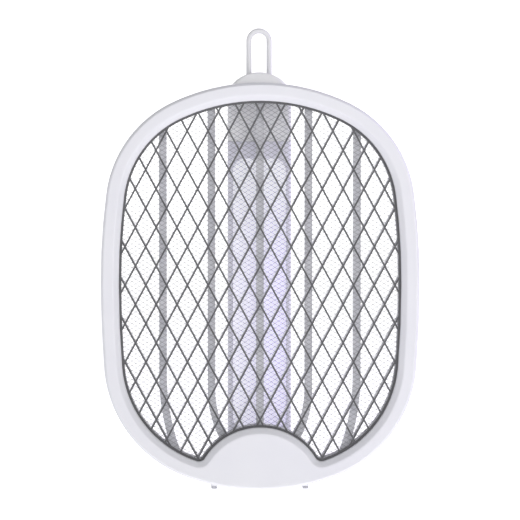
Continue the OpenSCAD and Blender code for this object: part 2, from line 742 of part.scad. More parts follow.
// ---- battery ----
cell_r = 9.1;
cell_y = grip_back_y - grip_wall - 0.4 - cell_r;
cell_z0 = 135;
cell_z1 = 200;
module battery_cell() {
    color("steelblue") translate([0, cell_y, cell_z0]) cylinder(r = cell_r, h = cell_z1 - cell_z0);
}
module battery_end_rings() {
    color("white") for (z = [cell_z0 - 0.5, cell_z1]) translate([0, cell_y, z]) difference() {
        cylinder(r = cell_r - 0.4, h = 0.5);
        translate([0, 0, -1]) cylinder(r = 4.2, h = 3);
    }
}
module battery_tabs() {
    color("silver") for (z = [cell_z0 - 0.3, cell_z1])
        block(-2.5, 2.5, cell_y - 2.5, cell_y + 2.5, z, z + 0.3);
}
module battery_leads() {
    color("firebrick") wire([
        [1.5, cell_y, cell_z1 + 1.1], [4.5, cell_y - 3, cell_z1 + 2.4], [8.6, cell_y - 6, cell_z1 + 1.8],
        [9.8, cell_y - 7, 196], [9.8, cell_y - 7.5, 170], [9.8, cell_y - 8.5, 145],
        [9.5, parts_y + 2, 131], [8.5, parts_y + 0.7, 128.5]
    ], lead_r, [0, 1, 0]);
    color("dimgray") wire([
        [0, cell_y, cell_z0 - 1.1], [-3, cell_y - 4, cell_z0 - 2.4],
        [-7.5, parts_y + 3, 131.5], [-8.5, parts_y + 0.7, 128.5]
    ], lead_r, [0, 1, 0]);
}
module lamp_leads() {
    color("mediumpurple") for (x = [-4, 4]) wire([
        [x, lamp_y + board_t + 0.6, 127], [x, lamp_y + board_t + 0.8, 131], [x, parts_y - 0.6, 133.6],
        [x, parts_y + 1.2, 132.2], [x, parts_y + 0.6, 129]
    ], 0.5, [1, 0, 0]);
}
module board_leads() {
    color("gray") for (k = [-2:2]) wire([
        [k * 1.8, parts_y + 0.6, 108.5], [k * 1.8, parts_y + 4, 106.5],
        [k * 1.8, control_y - 2, 105.2], [k * 1.8, control_y - 0.6, 100]
    ], 0.45, [1, 0, 0]);
}
module booster_leads() {
    color("firebrick") wire([
        [-1.6, hinge_y, hinge_z + 1], [-1.6, hinge_y, 24], [-1.6, hinge_y, 35], [-1.8, hinge_y + 1, 39],
        [-2.5, parts_y + 1.3, 41.4], [-3, parts_y + 0.75, 45.5]
    ], lead_r, [1, 0, 0]);
    color("dimgray") wire([
        [1.6, hinge_y, hinge_z + 1], [1.6, hinge_y, 24], [1.6, hinge_y, 35], [1.8, hinge_y + 1, 39],
        [2.5, parts_y + 1.3, 41.4], [3, parts_y + 0.75, 45.5]
    ], lead_r, [1, 0, 0]);
}

// ---- moving controls ----
module zap_button() {
    color("lightsteelblue") {
        rod_y(button_r, grip_back_y - 3.6, grip_back_y + knob_proud, 0, button_z);
        rod_y(button_r + 1, grip_back_y - 3.6, grip_back_y - 2.4, 0, button_z);
    }
}
module button_pad() {
    color("dimgray") rod_y(2.2, switch_base_y + 2 + button_travel, grip_back_y - 3.6, 0, button_z);
}
rest_z = knob_z - switch_travel / 2;
module mode_knob() {
    color("lightsteelblue") {
        block(-knob_w / 2, knob_w / 2, grip_back_y - well + 0.1, grip_back_y - well + 1,
            rest_z - knob_l / 2, rest_z + knob_l / 2);
        for (k = [-2:2])
            block(-knob_w / 2 + 1, knob_w / 2 - 1, grip_back_y - well + 0.9, grip_back_y + knob_proud,
                rest_z + 1.8 * k - 0.45, rest_z + 1.8 * k + 0.45);
        block(-1.4, 1.4, grip_back_y - 3.2, grip_back_y - well + 0.2, rest_z - 1.6, rest_z + 1.6);
    }
}
module slide_switch_lever() {
    color("black") block(-0.9, 0.9, switch_base_y + 1.1, grip_back_y - 3.2, rest_z - 1.1, rest_z + 1.1);
}

head_front_shell();
head_rear_shell();
front_net();
rear_net();
high_voltage_grid();
front_spacer_ring();
rib_frame();
head_screws();
net_terminals();
head_leads();
foot_left();
foot_right();
hinge_pin();
hinge_cap_left();
hinge_cap_right();
hinge_knuckle();
friction_sleeve_left();
friction_sleeve_right();
knuckle_screws();
handle_front_shell();
handle_back_shell();
handle_screws();
end_cap();
loop_grips();
lamp_lens();
lamp_board();
lamp_leds();
main_board();
booster_transformer();
booster_capacitors();
booster_diodes();
switching_transistor();
control_board();
tact_switch();
slide_switch_case();
indicator_light();
charging_socket();
battery_cell();
battery_end_rings();
battery_tabs();
battery_leads();
lamp_leads();
board_leads();
booster_leads();
zap_button();
button_pad();
mode_knob();
slide_switch_lever();
hanging_loop();
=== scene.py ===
"""The folded electric fly swatter: an oval zapper head with the handle flat behind it."""

import math

import bmesh
import bpy
from mathutils import Matrix, Vector


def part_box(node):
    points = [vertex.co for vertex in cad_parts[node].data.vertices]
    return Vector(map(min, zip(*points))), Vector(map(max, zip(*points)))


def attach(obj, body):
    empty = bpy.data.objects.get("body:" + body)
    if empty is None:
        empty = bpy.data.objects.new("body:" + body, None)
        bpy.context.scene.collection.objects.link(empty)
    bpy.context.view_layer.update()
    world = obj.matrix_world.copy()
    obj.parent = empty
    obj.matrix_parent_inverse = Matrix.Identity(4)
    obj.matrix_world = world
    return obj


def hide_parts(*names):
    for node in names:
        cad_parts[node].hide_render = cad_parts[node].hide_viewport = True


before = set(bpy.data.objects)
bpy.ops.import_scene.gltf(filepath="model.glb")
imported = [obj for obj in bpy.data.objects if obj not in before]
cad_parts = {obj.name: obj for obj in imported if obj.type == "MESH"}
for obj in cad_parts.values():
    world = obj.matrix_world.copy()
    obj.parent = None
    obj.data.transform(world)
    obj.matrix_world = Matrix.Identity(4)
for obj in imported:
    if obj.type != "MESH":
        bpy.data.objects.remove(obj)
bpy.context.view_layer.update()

MM = 0.001


def edges_of(node):
    """The lowest and highest corner of a node, in millimetres."""
    low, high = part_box(node)
    return [v / MM for v in low], [v / MM for v in high]


# ---- sizes, in millimetres ----
head_low, head_high = edges_of("head_front_shell")
FRONT = head_low[1]
PART = head_high[1]  # where the two halves of the head meet
BACK = PART + (PART - FRONT)
HEAD_BOTTOM = head_low[2]
HEAD_TOP = head_high[2]
HALF_W = head_high[0]
GRIP_FRONT = edges_of("handle_front_shell")[0][1]
GRIP_BACK = edges_of("handle_back_shell")[1][1]
GRIP_MID = (GRIP_FRONT + GRIP_BACK) / 2
GRIP_HALF = edges_of("end_cap")[1][0]
GRIP_TOP = edges_of("end_cap")[1][2]
CAP_Z = 208.0  # where the end cap starts
GRIP_BOTTOM = 24.0
HINGE_Y = BACK + 6.5
HINGE_Z = 11.0
PIN_R = 3.0
RIM_W = 11.2  # from the outline of the head to its opening
MOON_R = 39.4  # the half-moon that cuts into the opening
MOON_Z = HEAD_BOTTOM - 1.8
CUSP_R = 4.0
CROWN = [(122.0, 25.5), (69.7, 57.0)]  # radius and sweep of each arc, from the top to the side
BELLY = [(128.0, 20.0), (75.3, 65.5)]  # the same from the bottom
SEAM = 0.12  # half of the gap that shows between two mouldings


# ---- camera ----
def look_at(name, position, target):
    camera = bpy.data.objects.new(name, bpy.data.cameras.new(name))
    bpy.context.collection.objects.link(camera)
    camera.location = position
    camera.rotation_euler = (Vector(target) - Vector(position)).to_track_quat("-Z", "Y").to_euler()
    return camera


AZIMUTH = math.radians(-1.2)
ELEVATION = math.radians(3.0)
DISTANCE = 2.3
SENSOR = 36.0
FIELD = 0.3094  # width of the view at the front of the head, in metres
aim = Vector((-0.0002, FRONT * MM, 0.1381))
away = Vector((
    math.sin(AZIMUTH) * math.cos(ELEVATION),
    -math.cos(AZIMUTH) * math.cos(ELEVATION),
    math.sin(ELEVATION),
))
camera = look_at("camera", aim + away * DISTANCE, aim)
camera.data.sensor_width = SENSOR
camera.data.lens = SENSOR * DISTANCE / FIELD
camera.data.clip_start = 0.05
bpy.context.scene.camera = camera


# ---- shader maths ----
class Value:
    """A shader value that ordinary arithmetic works on."""

    def __init__(self, tree, socket):
        self.tree = tree
        self.socket = socket

    def _maths(self, operation, a, b):
        node = self.tree.nodes.new("ShaderNodeMath")
        node.operation = operation
        for place, item in enumerate((a, b)):
            if isinstance(item, Value):
                self.tree.links.new(item.socket, node.inputs[place])
            else:
                node.inputs[place].default_value = item
        return Value(self.tree, node.outputs[0])

    def __add__(self, other):
        return self._maths("ADD", self, other)

    def __radd__(self, other):
        return self._maths("ADD", other, self)

    def __mul__(self, other):
        return self._maths("MULTIPLY", self, other)

    def __rmul__(self, other):
        return self._maths("MULTIPLY", other, self)

    def __gt__(self, other):
        return self._maths("GREATER_THAN", self, other)

    def __lt__(self, other):
        return self._maths("LESS_THAN", self, other)


class Finish:
    """A material built from one Principled shader and whatever feeds it."""

    def __init__(self, name, colour, roughness, metallic=0.0, **constants):
        self.material = bpy.data.materials.new(name)
        self.material.use_nodes = True
        self.tree = self.material.node_tree
        self.shader = self.tree.nodes["Principled BSDF"]
        self.shader.inputs["Base Color"].default_value = (*colour, 1.0)
        self.shader.inputs["Roughness"].default_value = roughness
        self.shader.inputs["Metallic"].default_value = metallic
        for key, value in constants.items():
            self.shader.inputs[key.replace("_", " ")].default_value = value
        self.material.diffuse_color = (*colour, 1.0)

    def node(self, kind, settings=None, inputs=None, output=0):
        """One node, with its settings made first and then its values or links."""
        made = self.tree.nodes.new(kind)
        for key, value in (settings or {}).items():
            setattr(made, key, value)
        for key, value in (inputs or {}).items():
            if isinstance(value, Value):
                self.tree.links.new(value.socket, made.inputs[key])
            else:
                made.inputs[key].default_value = value
        return Value(self.tree, made.outputs[output])

    def place(self, scale=(1.0, 1.0, 1.0)):
        """Where a point is on its own piece, in metres."""
        spot = self.node("ShaderNodeTexCoord", output=3)
        return self.node("ShaderNodeMapping", {}, {"Vector": spot, "Scale": scale})

    def along(self, axis):
        """The distance along one axis, in metres."""
        return self.node("ShaderNodeSeparateXYZ", {}, {"Vector": self.place()}, "XYZ".index(axis))

    def noise(self, scale, detail=2.0, roughness=0.5, where=None):
        return self.node("ShaderNodeTexNoise", {}, {
            "Vector": where or self.place(), "Scale": scale, "Detail": detail, "Roughness": roughness})

    def spread(self, value, low, high, to_low, to_high):
        """Maps a range onto another and keeps it there."""
        return self.node("ShaderNodeMapRange", {}, {
            "Value": value, "From Min": low, "From Max": high, "To Min": to_low, "To Max": to_high})

    def blend(self, factor, a, b):
        """Mixes two colours."""
        inputs = {0: factor}
        for key, colour in ((6, a), (7, b)):
            inputs[key] = colour if isinstance(colour, Value) else (*colour, 1.0)
        return self.node("ShaderNodeMix", {"data_type": "RGBA"}, inputs, 2)

    def feed(self, socket, value):
        self.tree.links.new(value.socket, self.shader.inputs[socket])

    def relief(self, height, strength, distance):
        self.feed("Normal", self.node("ShaderNodeBump", {}, {
            "Height": height, "Strength": strength, "Distance": distance}))


def moulded(name, colour, shade, roughness, grain=0.05, **constants):
    """Moulded plastic: a faint cloud of shade, a fine grain, and a gloss that varies a little."""
    finish = Finish(name, colour, roughness, **constants)
    cloud = finish.noise(38.0, 3.0)
    finish.feed("Base Color", finish.blend(finish.spread(cloud, 0.35, 0.65, 0.0, 1.0), colour, shade))
    fine = finish.noise(5200.0, 2.0)
    finish.feed("Roughness", finish.spread(cloud, 0.3, 0.7, roughness - 0.03, roughness + 0.04))
    finish.relief(fine, grain, 0.00005)
    return finish.material


def worked_metal(name, colour, roughness, stretch, metallic=1.0):
    """Drawn or brushed metal, with fine lines along one way."""
    finish = Finish(name, colour, roughness, metallic)
    lines = finish.noise(900.0, 3.0, 0.6, finish.place(scale=stretch))
    finish.feed("Roughness", finish.spread(lines, 0.3, 0.7, roughness - 0.07, roughness + 0.1))
    finish.relief(lines, 0.12, 0.00003)
    return finish.material


def lens_finish():
    """Milky lamp lens that glows faintly, with painted shade that greys it near the cap, so it turns lavender
    further down, and painted lavender light that grows towards its right side.
    """
    finish = Finish("milky_lavender", (0.86, 0.84, 0.96), 0.28, Coat_Weight=0.3, Coat_Roughness=0.15,
                    Emission_Strength=0.42)
    # painted lavender light: the lens is made more lavender towards its right side
    painted_light_rightward = finish.spread(finish.along("X"), -0.014, 0.014, 0.0, 1.0)
    # painted shade: the lens is made greyer towards the cap, from 130 mm upwards
    painted_shade_upward = finish.spread(finish.along("Z"), 0.130, 0.185, 0.0, 1.0)
    painted_light_tint = finish.blend(painted_light_rightward, (0.86, 0.85, 0.94), (0.80, 0.77, 0.95))
    colour = finish.blend(painted_shade_upward, painted_light_tint, (0.78, 0.78, 0.83))
    finish.feed("Base Color", colour)
    # the glow takes the same colour, so it carries the painted shade and painted light too
    finish.feed("Emission Color", colour)
    finish.feed("Roughness", finish.spread(finish.noise(260.0), 0.3, 0.7, 0.26, 0.34))
    finish.relief(finish.noise(1500.0), 0.05, 0.00005)
    return finish.material


def circuit_finish(name, mask, track):
    """Solder mask with paler copper tracks under it."""
    finish = Finish(name, mask, 0.35, Coat_Weight=0.4)
    tracks = finish.node("ShaderNodeTexVoronoi", {"feature": "DISTANCE_TO_EDGE"},
                         {"Vector": finish.place(), "Scale": 260.0})
    line = finish.spread(tracks, 0.05, 0.09, 1.0, 0.0)
    finish.feed("Base Color", finish.blend(line, mask, track))
    finish.feed("Roughness", 0.32 + 0.1 * line)
    finish.relief(line, 0.3, 0.00005)
    return finish.material


def wire_finish(name, left, right):
    """Insulation in one colour on the left of the middle and another on the right."""
    finish = Finish(name, left, 0.42)
    side = finish.along("X") > 0.0
    finish.feed("Base Color", finish.blend(side, left, right))
    finish.feed("Roughness", finish.spread(finish.noise(700.0), 0.3, 0.7, 0.36, 0.48))
    return finish.material


def banded_finish(name, body, band, low, high, roughness):
    """One colour with a band of another between two heights."""
    finish = Finish(name, body, roughness)
    up = finish.along("Z")
    mask = (up > low) * (up < high)
    finish.feed("Base Color", finish.blend(mask, body, band))
    finish.feed("Roughness", finish.spread(finish.noise(500.0), 0.3, 0.7, roughness - 0.05, roughness + 0.05))
    return finish.material


WHITE_SHELL = moulded("pearl_white_shell", (0.69, 0.69, 0.72), (0.675, 0.675, 0.71), 0.34, 0.03,
                      Coat_Weight=0.15)
NET_PAINT = moulded("grey_net_coating", (0.075, 0.075, 0.08), (0.09, 0.09, 0.095), 0.42, 0.25)
PALE_NET = moulded("pale_net_coating", (0.86, 0.86, 0.88), (0.82, 0.82, 0.85), 0.45, 0.25)
RIB_PLASTIC = moulded("light_grey_ribs", (0.60, 0.60, 0.63), (0.56, 0.56, 0.60), 0.5, 0.15)
GRIP_PLASTIC = moulded("lavender_grip", (0.85, 0.84, 0.92), (0.835, 0.825, 0.91), 0.36, 0.10)
CAP_PLASTIC = moulded("grey_end_cap", (0.93, 0.93, 0.935), (0.915, 0.915, 0.92), 0.42, 0.10)
LOOP_PLASTIC = moulded("grey_loop", (0.74, 0.74, 0.76), (0.71, 0.71, 0.73), 0.38, 0.08)
CONTROL_PLASTIC = moulded("lilac_controls", (0.36, 0.31, 0.60), (0.34, 0.29, 0.57), 0.33, 0.08)
FOOT_RUBBER = moulded("grey_foot_rubber", (0.45, 0.45, 0.48), (0.40, 0.40, 0.43), 0.75, 0.5)
DARK_RUBBER = moulded("dark_silicone", (0.05, 0.05, 0.055), (0.06, 0.06, 0.065), 0.6, 0.3)
BLACK_PART = moulded("black_epoxy", (0.02, 0.02, 0.022), (0.03, 0.03, 0.032), 0.5, 0.3)
PAPER_RING = moulded("white_fibre", (0.85, 0.85, 0.83), (0.80, 0.80, 0.77), 0.8, 0.4)
WHITE_BOARD = moulded("white_solder_mask", (0.86, 0.86, 0.83), (0.83, 0.83, 0.80), 0.35, 0.05)
LAMP_RESIN = moulded("yellow_lamp_resin", (0.90, 0.78, 0.30), (0.88, 0.74, 0.26), 0.25, 0.05)
CLEAR_PIPE = moulded("clear_light_pipe", (0.70, 0.85, 0.74), (0.66, 0.82, 0.70), 0.15, 0.02,
                     Transmission_Weight=0.4)
GRID_METAL = worked_metal("bright_grid_metal", (0.28, 0.28, 0.30), 0.34, (1.0, 1.0, 1.0), 0.45)
ZINC = worked_metal("zinc_plate", (0.66, 0.67, 0.70), 0.30, (0.2, 1.0, 1.0))
SOCKET_STEEL = worked_metal("socket_steel", (0.72, 0.73, 0.75), 0.24, (1.0, 0.3, 1.0))
BRASS = worked_metal("stamped_brass", (0.80, 0.62, 0.30), 0.28, (1.0, 1.0, 0.2))
COIL = banded_finish("varnished_coil", (0.78, 0.52, 0.10), (0.16, 0.13, 0.10), 0.1145, 0.1235, 0.35)
LENS = lens_finish()
GREEN_BOARD = circuit_finish("green_solder_mask", (0.02, 0.17, 0.07), (0.05, 0.28, 0.12))
LEADS = wire_finish("red_and_black_leads", (0.55, 0.03, 0.02), (0.03, 0.03, 0.035))
LILAC_LEADS = wire_finish("lilac_leads", (0.40, 0.30, 0.65), (0.35, 0.26, 0.60))
RIBBON = wire_finish("grey_ribbon_leads", (0.45, 0.45, 0.48), (0.40, 0.40, 0.43))
DIPPED_CAPACITOR = banded_finish("dipped_capacitors", (0.32, 0.09, 0.04), (0.05, 0.08, 0.22),
                                 0.075, 0.090, 0.3)
CELL_SLEEVE = banded_finish("cell_sleeve", (0.06, 0.20, 0.45), (0.60, 0.62, 0.65), 0.1985, 0.2015, 0.3)

NODE_FINISH = {
    "front_net": NET_PAINT, "rear_net": PALE_NET, "front_spacer_ring": RIB_PLASTIC, "rib_frame": RIB_PLASTIC,
    "net_terminals": BRASS, "head_leads": LEADS, "hinge_pin": ZINC,
    "friction_sleeve_left": ZINC, "friction_sleeve_right": ZINC,
    "loop_grips": DARK_RUBBER, "lamp_board": WHITE_BOARD, "lamp_leds": LAMP_RESIN, "main_board": GREEN_BOARD,
    "booster_transformer": COIL, "booster_capacitors": DIPPED_CAPACITOR, "booster_diodes": BLACK_PART,
    "switching_transistor": BLACK_PART, "control_board": GREEN_BOARD, "tact_switch": BLACK_PART,
    "slide_switch_case": ZINC, "indicator_light": CLEAR_PIPE, "charging_socket": SOCKET_STEEL,
    "battery_cell": CELL_SLEEVE, "battery_end_rings": PAPER_RING, "battery_tabs": ZINC,
    "battery_leads": LEADS, "lamp_leads": LILAC_LEADS, "board_leads": RIBBON, "booster_leads": LEADS,
    "button_pad": DARK_RUBBER, "slide_switch_lever": BLACK_PART,
}
for node, material in NODE_FINISH.items():
    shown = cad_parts[node]
    shown.data.materials.clear()
    shown.data.materials.append(material)


# ---- making pieces ----
def verts_of(geom):
    return [g for g in geom if isinstance(g, bmesh.types.BMVert)]


def edges_in(geom):
    return [g for g in geom if isinstance(g, bmesh.types.BMEdge)]


def placed(name, bm, body, material, replaces):
    """Turns a mesh drawn in millimetres into a piece that rides on a body."""
    bmesh.ops.scale(bm, verts=bm.verts, vec=(MM, MM, MM))
    mesh = bpy.data.meshes.new(name)
    bm.to_mesh(mesh)
    bm.free()
    made = bpy.data.objects.new(name, mesh)
    bpy.context.collection.objects.link(made)
    mesh.materials.append(material)
    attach(made, body)
    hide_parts(*replaces)
    return made


def piece(name, bm, body, material, replaces, soft_angle, edge=0.0):
    """A smooth piece. Edges that turn more than the angle stay sharp, or are rounded if edge says so."""
    bmesh.ops.remove_doubles(bm, verts=bm.verts, dist=1e-4)
    bmesh.ops.recalc_face_normals(bm, faces=bm.faces)
    made = placed(name, bm, body, material, replaces)
    made.data.shade_smooth()
    if edge:
        bevel = made.modifiers.new("edges", "BEVEL")
        bevel.width = edge * MM
        bevel.segments = 2
        bevel.limit_method = "ANGLE"
        bevel.angle_limit = math.radians(soft_angle)
        bevel.use_clamp_overlap = True
    else:
        made.data.set_sharp_from_angle(angle=math.radians(soft_angle))
    weighted = made.modifiers.new("even_normals", "WEIGHTED_NORMAL")
    weighted.keep_sharp = True
    return made


def loose_body(name, bm):
    """A plain object made of a closed mesh, to cut or to cut with."""
    bmesh.ops.recalc_face_normals(bm, faces=bm.faces)
    mesh = bpy.data.meshes.new(name)
    bm.to_mesh(mesh)
    bm.free()
    made = bpy.data.objects.new(name, mesh)
    bpy.context.collection.objects.link(made)
    return made


def open_edges(bm):
    return sum(len(e.link_faces) != 2 for e in bm.edges)


LEAST_LEFT, MOST_LEFT = 0.05, 1.0001  # shares of the stock that a good cut can leave


def carve(target, *cutters):
    """Cuts closed shapes out of a piece for good, and stops if a cut goes wrong."""
    bmesh.ops.recalc_face_normals(target, faces=target.faces)
    whole = target.calc_volume()
    stock = loose_body("stock", target)
    bodies = [loose_body("cutter", bm) for bm in cutters]
    for cutter in bodies:
        cut = stock.modifiers.new("cut", "BOOLEAN")
        cut.operation = "DIFFERENCE"
        cut.solver = "EXACT"
        cut.object = cutter
    result = bmesh.new()
    result.from_object(stock, bpy.context.evaluated_depsgraph_get())
    left, loose = result.calc_volume(), open_edges(result)
    if loose or not LEAST_LEFT * whole < left <= MOST_LEFT * whole:
        raise RuntimeError("a cut failed: %.1f of %.1f left, %d open edges" % (left, whole, loose))
    for spent in [stock, *bodies]:
        bpy.data.objects.remove(spent)
    return result


def box(x0, x1, y0, y1, z0, z1):
    bm = bmesh.new()
    bmesh.ops.create_cube(bm, size=1.0)
    bmesh.ops.scale(bm, verts=bm.verts, vec=(x1 - x0, y1 - y0, z1 - z0))
    bmesh.ops.translate(bm, verts=bm.verts, vec=((x0 + x1) / 2, (y0 + y1) / 2, (z0 + z1) / 2))
    return bm


def turned(axis):
    """The turn that takes +Z to the named axis."""
    return {"X": Matrix.Rotation(math.pi / 2, 3, "Y"), "Y": Matrix.Rotation(-math.pi / 2, 3, "X"),
            "Z": Matrix.Identity(3)}[axis]


def rod(axis, r, low, high, at, segments=48):
    """A rod along an axis, from low to high, through a point given on the other two axes."""
    bm = bmesh.new()
    bmesh.ops.create_cone(bm, cap_ends=True, segments=segments, radius1=r, radius2=r, depth=high - low)
    bmesh.ops.rotate(bm, verts=bm.verts, cent=(0, 0, 0), matrix=turned(axis))
    middle = (low + high) / 2
    spot = {"X": (middle, *at), "Y": (at[0], middle, at[1]), "Z": (*at, middle)}[axis]
    bmesh.ops.translate(bm, verts=bm.verts, vec=spot)
    return bm


def join(*parts):
    """Puts several meshes into one."""
    whole = bmesh.new()
    for bm in parts:
        mesh = bpy.data.meshes.new("part")
        bm.to_mesh(mesh)
        bm.free()
        whole.from_mesh(mesh)
        bpy.data.meshes.remove(mesh)
    return whole


def flipped(bm, axis=0):
    """The same shape mirrored, from side to side unless another axis is given."""
    scale = [1.0, 1.0, 1.0]
    scale[axis] = -1.0
    bmesh.ops.scale(bm, verts=bm.verts, vec=scale)
    bmesh.ops.reverse_faces(bm, faces=bm.faces)
    return bm


def rounded(bm, offset, segments=3, angle=35.0, keep=None):
    """Bevels every edge that turns more than an angle, or only those of them that keep says."""
    bm.normal_update()
    picked = [e for e in bm.edges if len(e.link_faces) == 2
              and math.degrees(e.calc_face_angle(0.0)) > angle and (keep is None or keep(e))]
    bmesh.ops.bevel(bm, geom=picked, offset=offset, offset_type="OFFSET", segments=segments, profile=0.5,
                    affect="EDGES", material=-1, clamp_overlap=True)
    return bm


def thickened(bm, face, vec):
    """Draws one flat face out into a solid."""
    grown = bmesh.ops.extrude_face_region(bm, geom=[face])["geom"]
    bmesh.ops.translate(bm, verts=verts_of(grown), vec=vec)
    return bm


def round_points(centre, radius, start, end, steps):
    """Points round part of a circle."""
    return [(centre[0] + radius * math.cos(math.radians(start + (end - start) * k / steps)),
             centre[1] + radius * math.sin(math.radians(start + (end - start) * k / steps)))
            for k in range(steps + 1)]


def rounded_corners(corners, steps):
    """The outline of a rectangle from the centre, radius and first angle of each corner."""
    return [point for centre, r, start in corners
            for point in round_points(centre, r, start, start + 90.0, steps)]


def node_parts(node):
    """The middle, lowest and highest corner of each loose part of a node, in millimetres."""
    bm = bmesh.new()
    bm.from_mesh(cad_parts[node].data)
    bmesh.ops.remove_doubles(bm, verts=bm.verts, dist=1e-7)
    left = set(bm.verts)
    spots = []
    while left:
        stack = [left.pop()]
        found = []
        while stack:
            vert = stack.pop()
            found.append(vert.co / MM)
            for edge in vert.link_edges:
                other = edge.other_vert(vert)
                if other in left:
                    left.remove(other)
                    stack.append(other)
        low = Vector([min(v[i] for v in found) for i in range(3)])
        high = Vector([max(v[i] for v in found) for i in range(3)])
        spots.append(((low + high) / 2, low, high))
    bm.free()
    return sorted(spots, key=lambda s: (round(s[0].z, 2), round(s[0].x, 2)))


# ---- screws ----
SCREW_HEAD_R, SCREW_HEAD_H = 1.9, 1.35
CROSS_REACH, CROSS_HALF, CROSS_DEPTH = 1.15, 0.22, 0.75
SHANK_R = 0.95


def screw(x, z, head_y, length, facing):
    """A pan-head screw with a cross recess, facing +Y or -Y."""
    head = rod("Y", SCREW_HEAD_R, -SCREW_HEAD_H, 0.0, (0.0, 0.0), 32)
    rounded(head, 0.55, 3, 35.0, lambda e: all(v.co.y > -0.1 for v in e.verts))
    head = carve(head, box(-CROSS_REACH, CROSS_REACH, -CROSS_DEPTH, 1.0, -CROSS_HALF, CROSS_HALF),
                 box(-CROSS_HALF, CROSS_HALF, -CROSS_DEPTH, 1.0, -CROSS_REACH, CROSS_REACH))
    bm = join(head, rod("Y", SHANK_R, -length, 0.05 - SCREW_HEAD_H, (0.0, 0.0), 20))
    if facing < 0:
        bmesh.ops.rotate(bm, verts=bm.verts, cent=(0, 0, 0), matrix=Matrix.Rotation(math.pi, 3, "Z"))
    bmesh.ops.translate(bm, verts=bm.verts, vec=(x, head_y, z))
    return bm


def screw_set(name, node, body, facing=1):
    """One cross-head screw for each in the node."""
    parts = []
    for middle, low, high in node_parts(node):
        head_y = high.y if facing > 0 else low.y
        parts.append(screw(middle.x, middle.z, head_y, high.y - low.y, facing))
    return piece(name, join(*parts), body, ZINC, (node,), 30.0)


# ---- head shells ----
def arc(centre, angle, steps=None):
    """One arc of a path: its centre, its sweep in degrees, and the number of steps that draw it."""
    return centre, angle, steps or max(2, math.ceil(abs(angle) / 3.0))


def end_arcs(arcs):
    """Centre and sweep of each tangent arc, from a pole at the origin round to the side."""
    (r1, s1), (r2, s2) = arcs
    a1, a2 = math.radians(s1), math.radians(s1 + s2)
    x2 = r1 * math.sin(a1) + r2 * (math.sin(a2) - math.sin(a1))
    r3 = (HALF_W - x2) / (1 - math.sin(a2))
    c1 = Vector((0.0, -r1))
    c2 = c1 + (r1 - r2) * Vector((math.sin(a1), math.cos(a1)))
    c3 = c2 + (r2 - r3) * Vector((math.sin(a2), math.cos(a2)))
    return [(c1, s1), (c2, s2), (c3, 90 - s1 - s2)]


crown = [arc((c.x, HEAD_TOP + c.y), angle) for c, angle in end_arcs(CROWN)]
belly = [arc((c.x, HEAD_BOTTOM - c.y), angle) for c, angle in end_arcs(BELLY)]
SIDE_HIGH = crown[2][0][1]
SIDE_LOW = belly[2][0][1]

cusp_reach = BELLY[0][0] - RIM_W - CUSP_R
moon_reach = MOON_R + CUSP_R
centres_apart = HEAD_BOTTOM + BELLY[0][0] - MOON_Z
cusp_up = (moon_reach ** 2 - cusp_reach ** 2 + centres_apart ** 2) / (2 * centres_apart)
cusp_side = math.sqrt(moon_reach ** 2 - cusp_up ** 2)
MOON_ANGLE = math.degrees(math.atan2(cusp_up, cusp_side))
BELLY_ANGLE = math.degrees(math.atan2(cusp_side, centres_apart - cusp_up))

# A path goes down the right half from the top. Each step is an arc or a straight drop.
rim_path = [*crown, SIDE_LOW - SIDE_HIGH, *reversed(belly)]
opening_path = [
    *crown, SIDE_LOW - SIDE_HIGH, belly[2], belly[1], arc(belly[0][0], belly[0][1] - BELLY_ANGLE),
    arc((cusp_side, MOON_Z + cusp_up), 90 - MOON_ANGLE + BELLY_ANGLE, 10),
    arc((0.0, MOON_Z), MOON_ANGLE - 90),
]


def sweep(bm, section, path, closed=False):
    """Draws a section on the middle plane at the top and turns it round the right half of a path."""
    start = [bm.verts.new((0.0, y, z)) for y, z in section]
    ends = list(zip(start, start[1:])) + ([(start[-1], start[0])] if closed else [])
    edge = [bm.edges.new(pair) for pair in ends]
    for step in path:
        if isinstance(step, tuple):
            (x, z), angle, steps = step
            spun = bmesh.ops.spin(bm, geom=edge, cent=(x, 0.0, z), axis=(0, 1, 0), dvec=(0, 0, 0),
                                  angle=math.radians(angle), steps=steps,
                                  use_merge=False, use_duplicate=False)
            edge = edges_in(spun["geom_last"])
        else:
            edge = drawn_in(bm, edge, (0.0, 0.0, step))
    return bm


def drawn_in(bm, edges, vec):
    """Extrudes a row of edges and returns the new row."""
    grown = bmesh.ops.extrude_edge_only(bm, edges=edges)["geom"]
    fresh = set(verts_of(grown))
    bmesh.ops.translate(bm, verts=list(fresh), vec=vec)
    return [e for e in edges_in(grown) if all(v in fresh for v in e.verts)]


def mirrored_over(bm):
    """Adds the left half of a shape that is drawn on the right of the middle plane."""
    other = bmesh.ops.duplicate(bm, geom=bm.verts[:] + bm.edges[:] + bm.faces[:])["geom"]
    bmesh.ops.scale(bm, verts=verts_of(other), vec=(-1, 1, 1))
    bmesh.ops.remove_doubles(bm, verts=bm.verts, dist=1e-3)
    return bm


def eased(side, face, ease, steps=3):
    """A chamfer from a side wall to a face, with both of its corners rounded."""
    side, face = Vector(side), Vector(face)
    slope = (face - side).normalized()
    onward = Vector((0.0, math.copysign(1.0, face.y - side.y)))
    out = []
    for corner, before, after in ((side, Vector((1.0, 0.0)), slope), (face, -slope, onward)):
        a, b = corner + before * ease, corner + after * ease
        for k in range(steps + 1):
            t = k / steps
            out.append(tuple((1 - t) ** 2 * a + 2 * t * (1 - t) * corner + t * t * b))
    return out


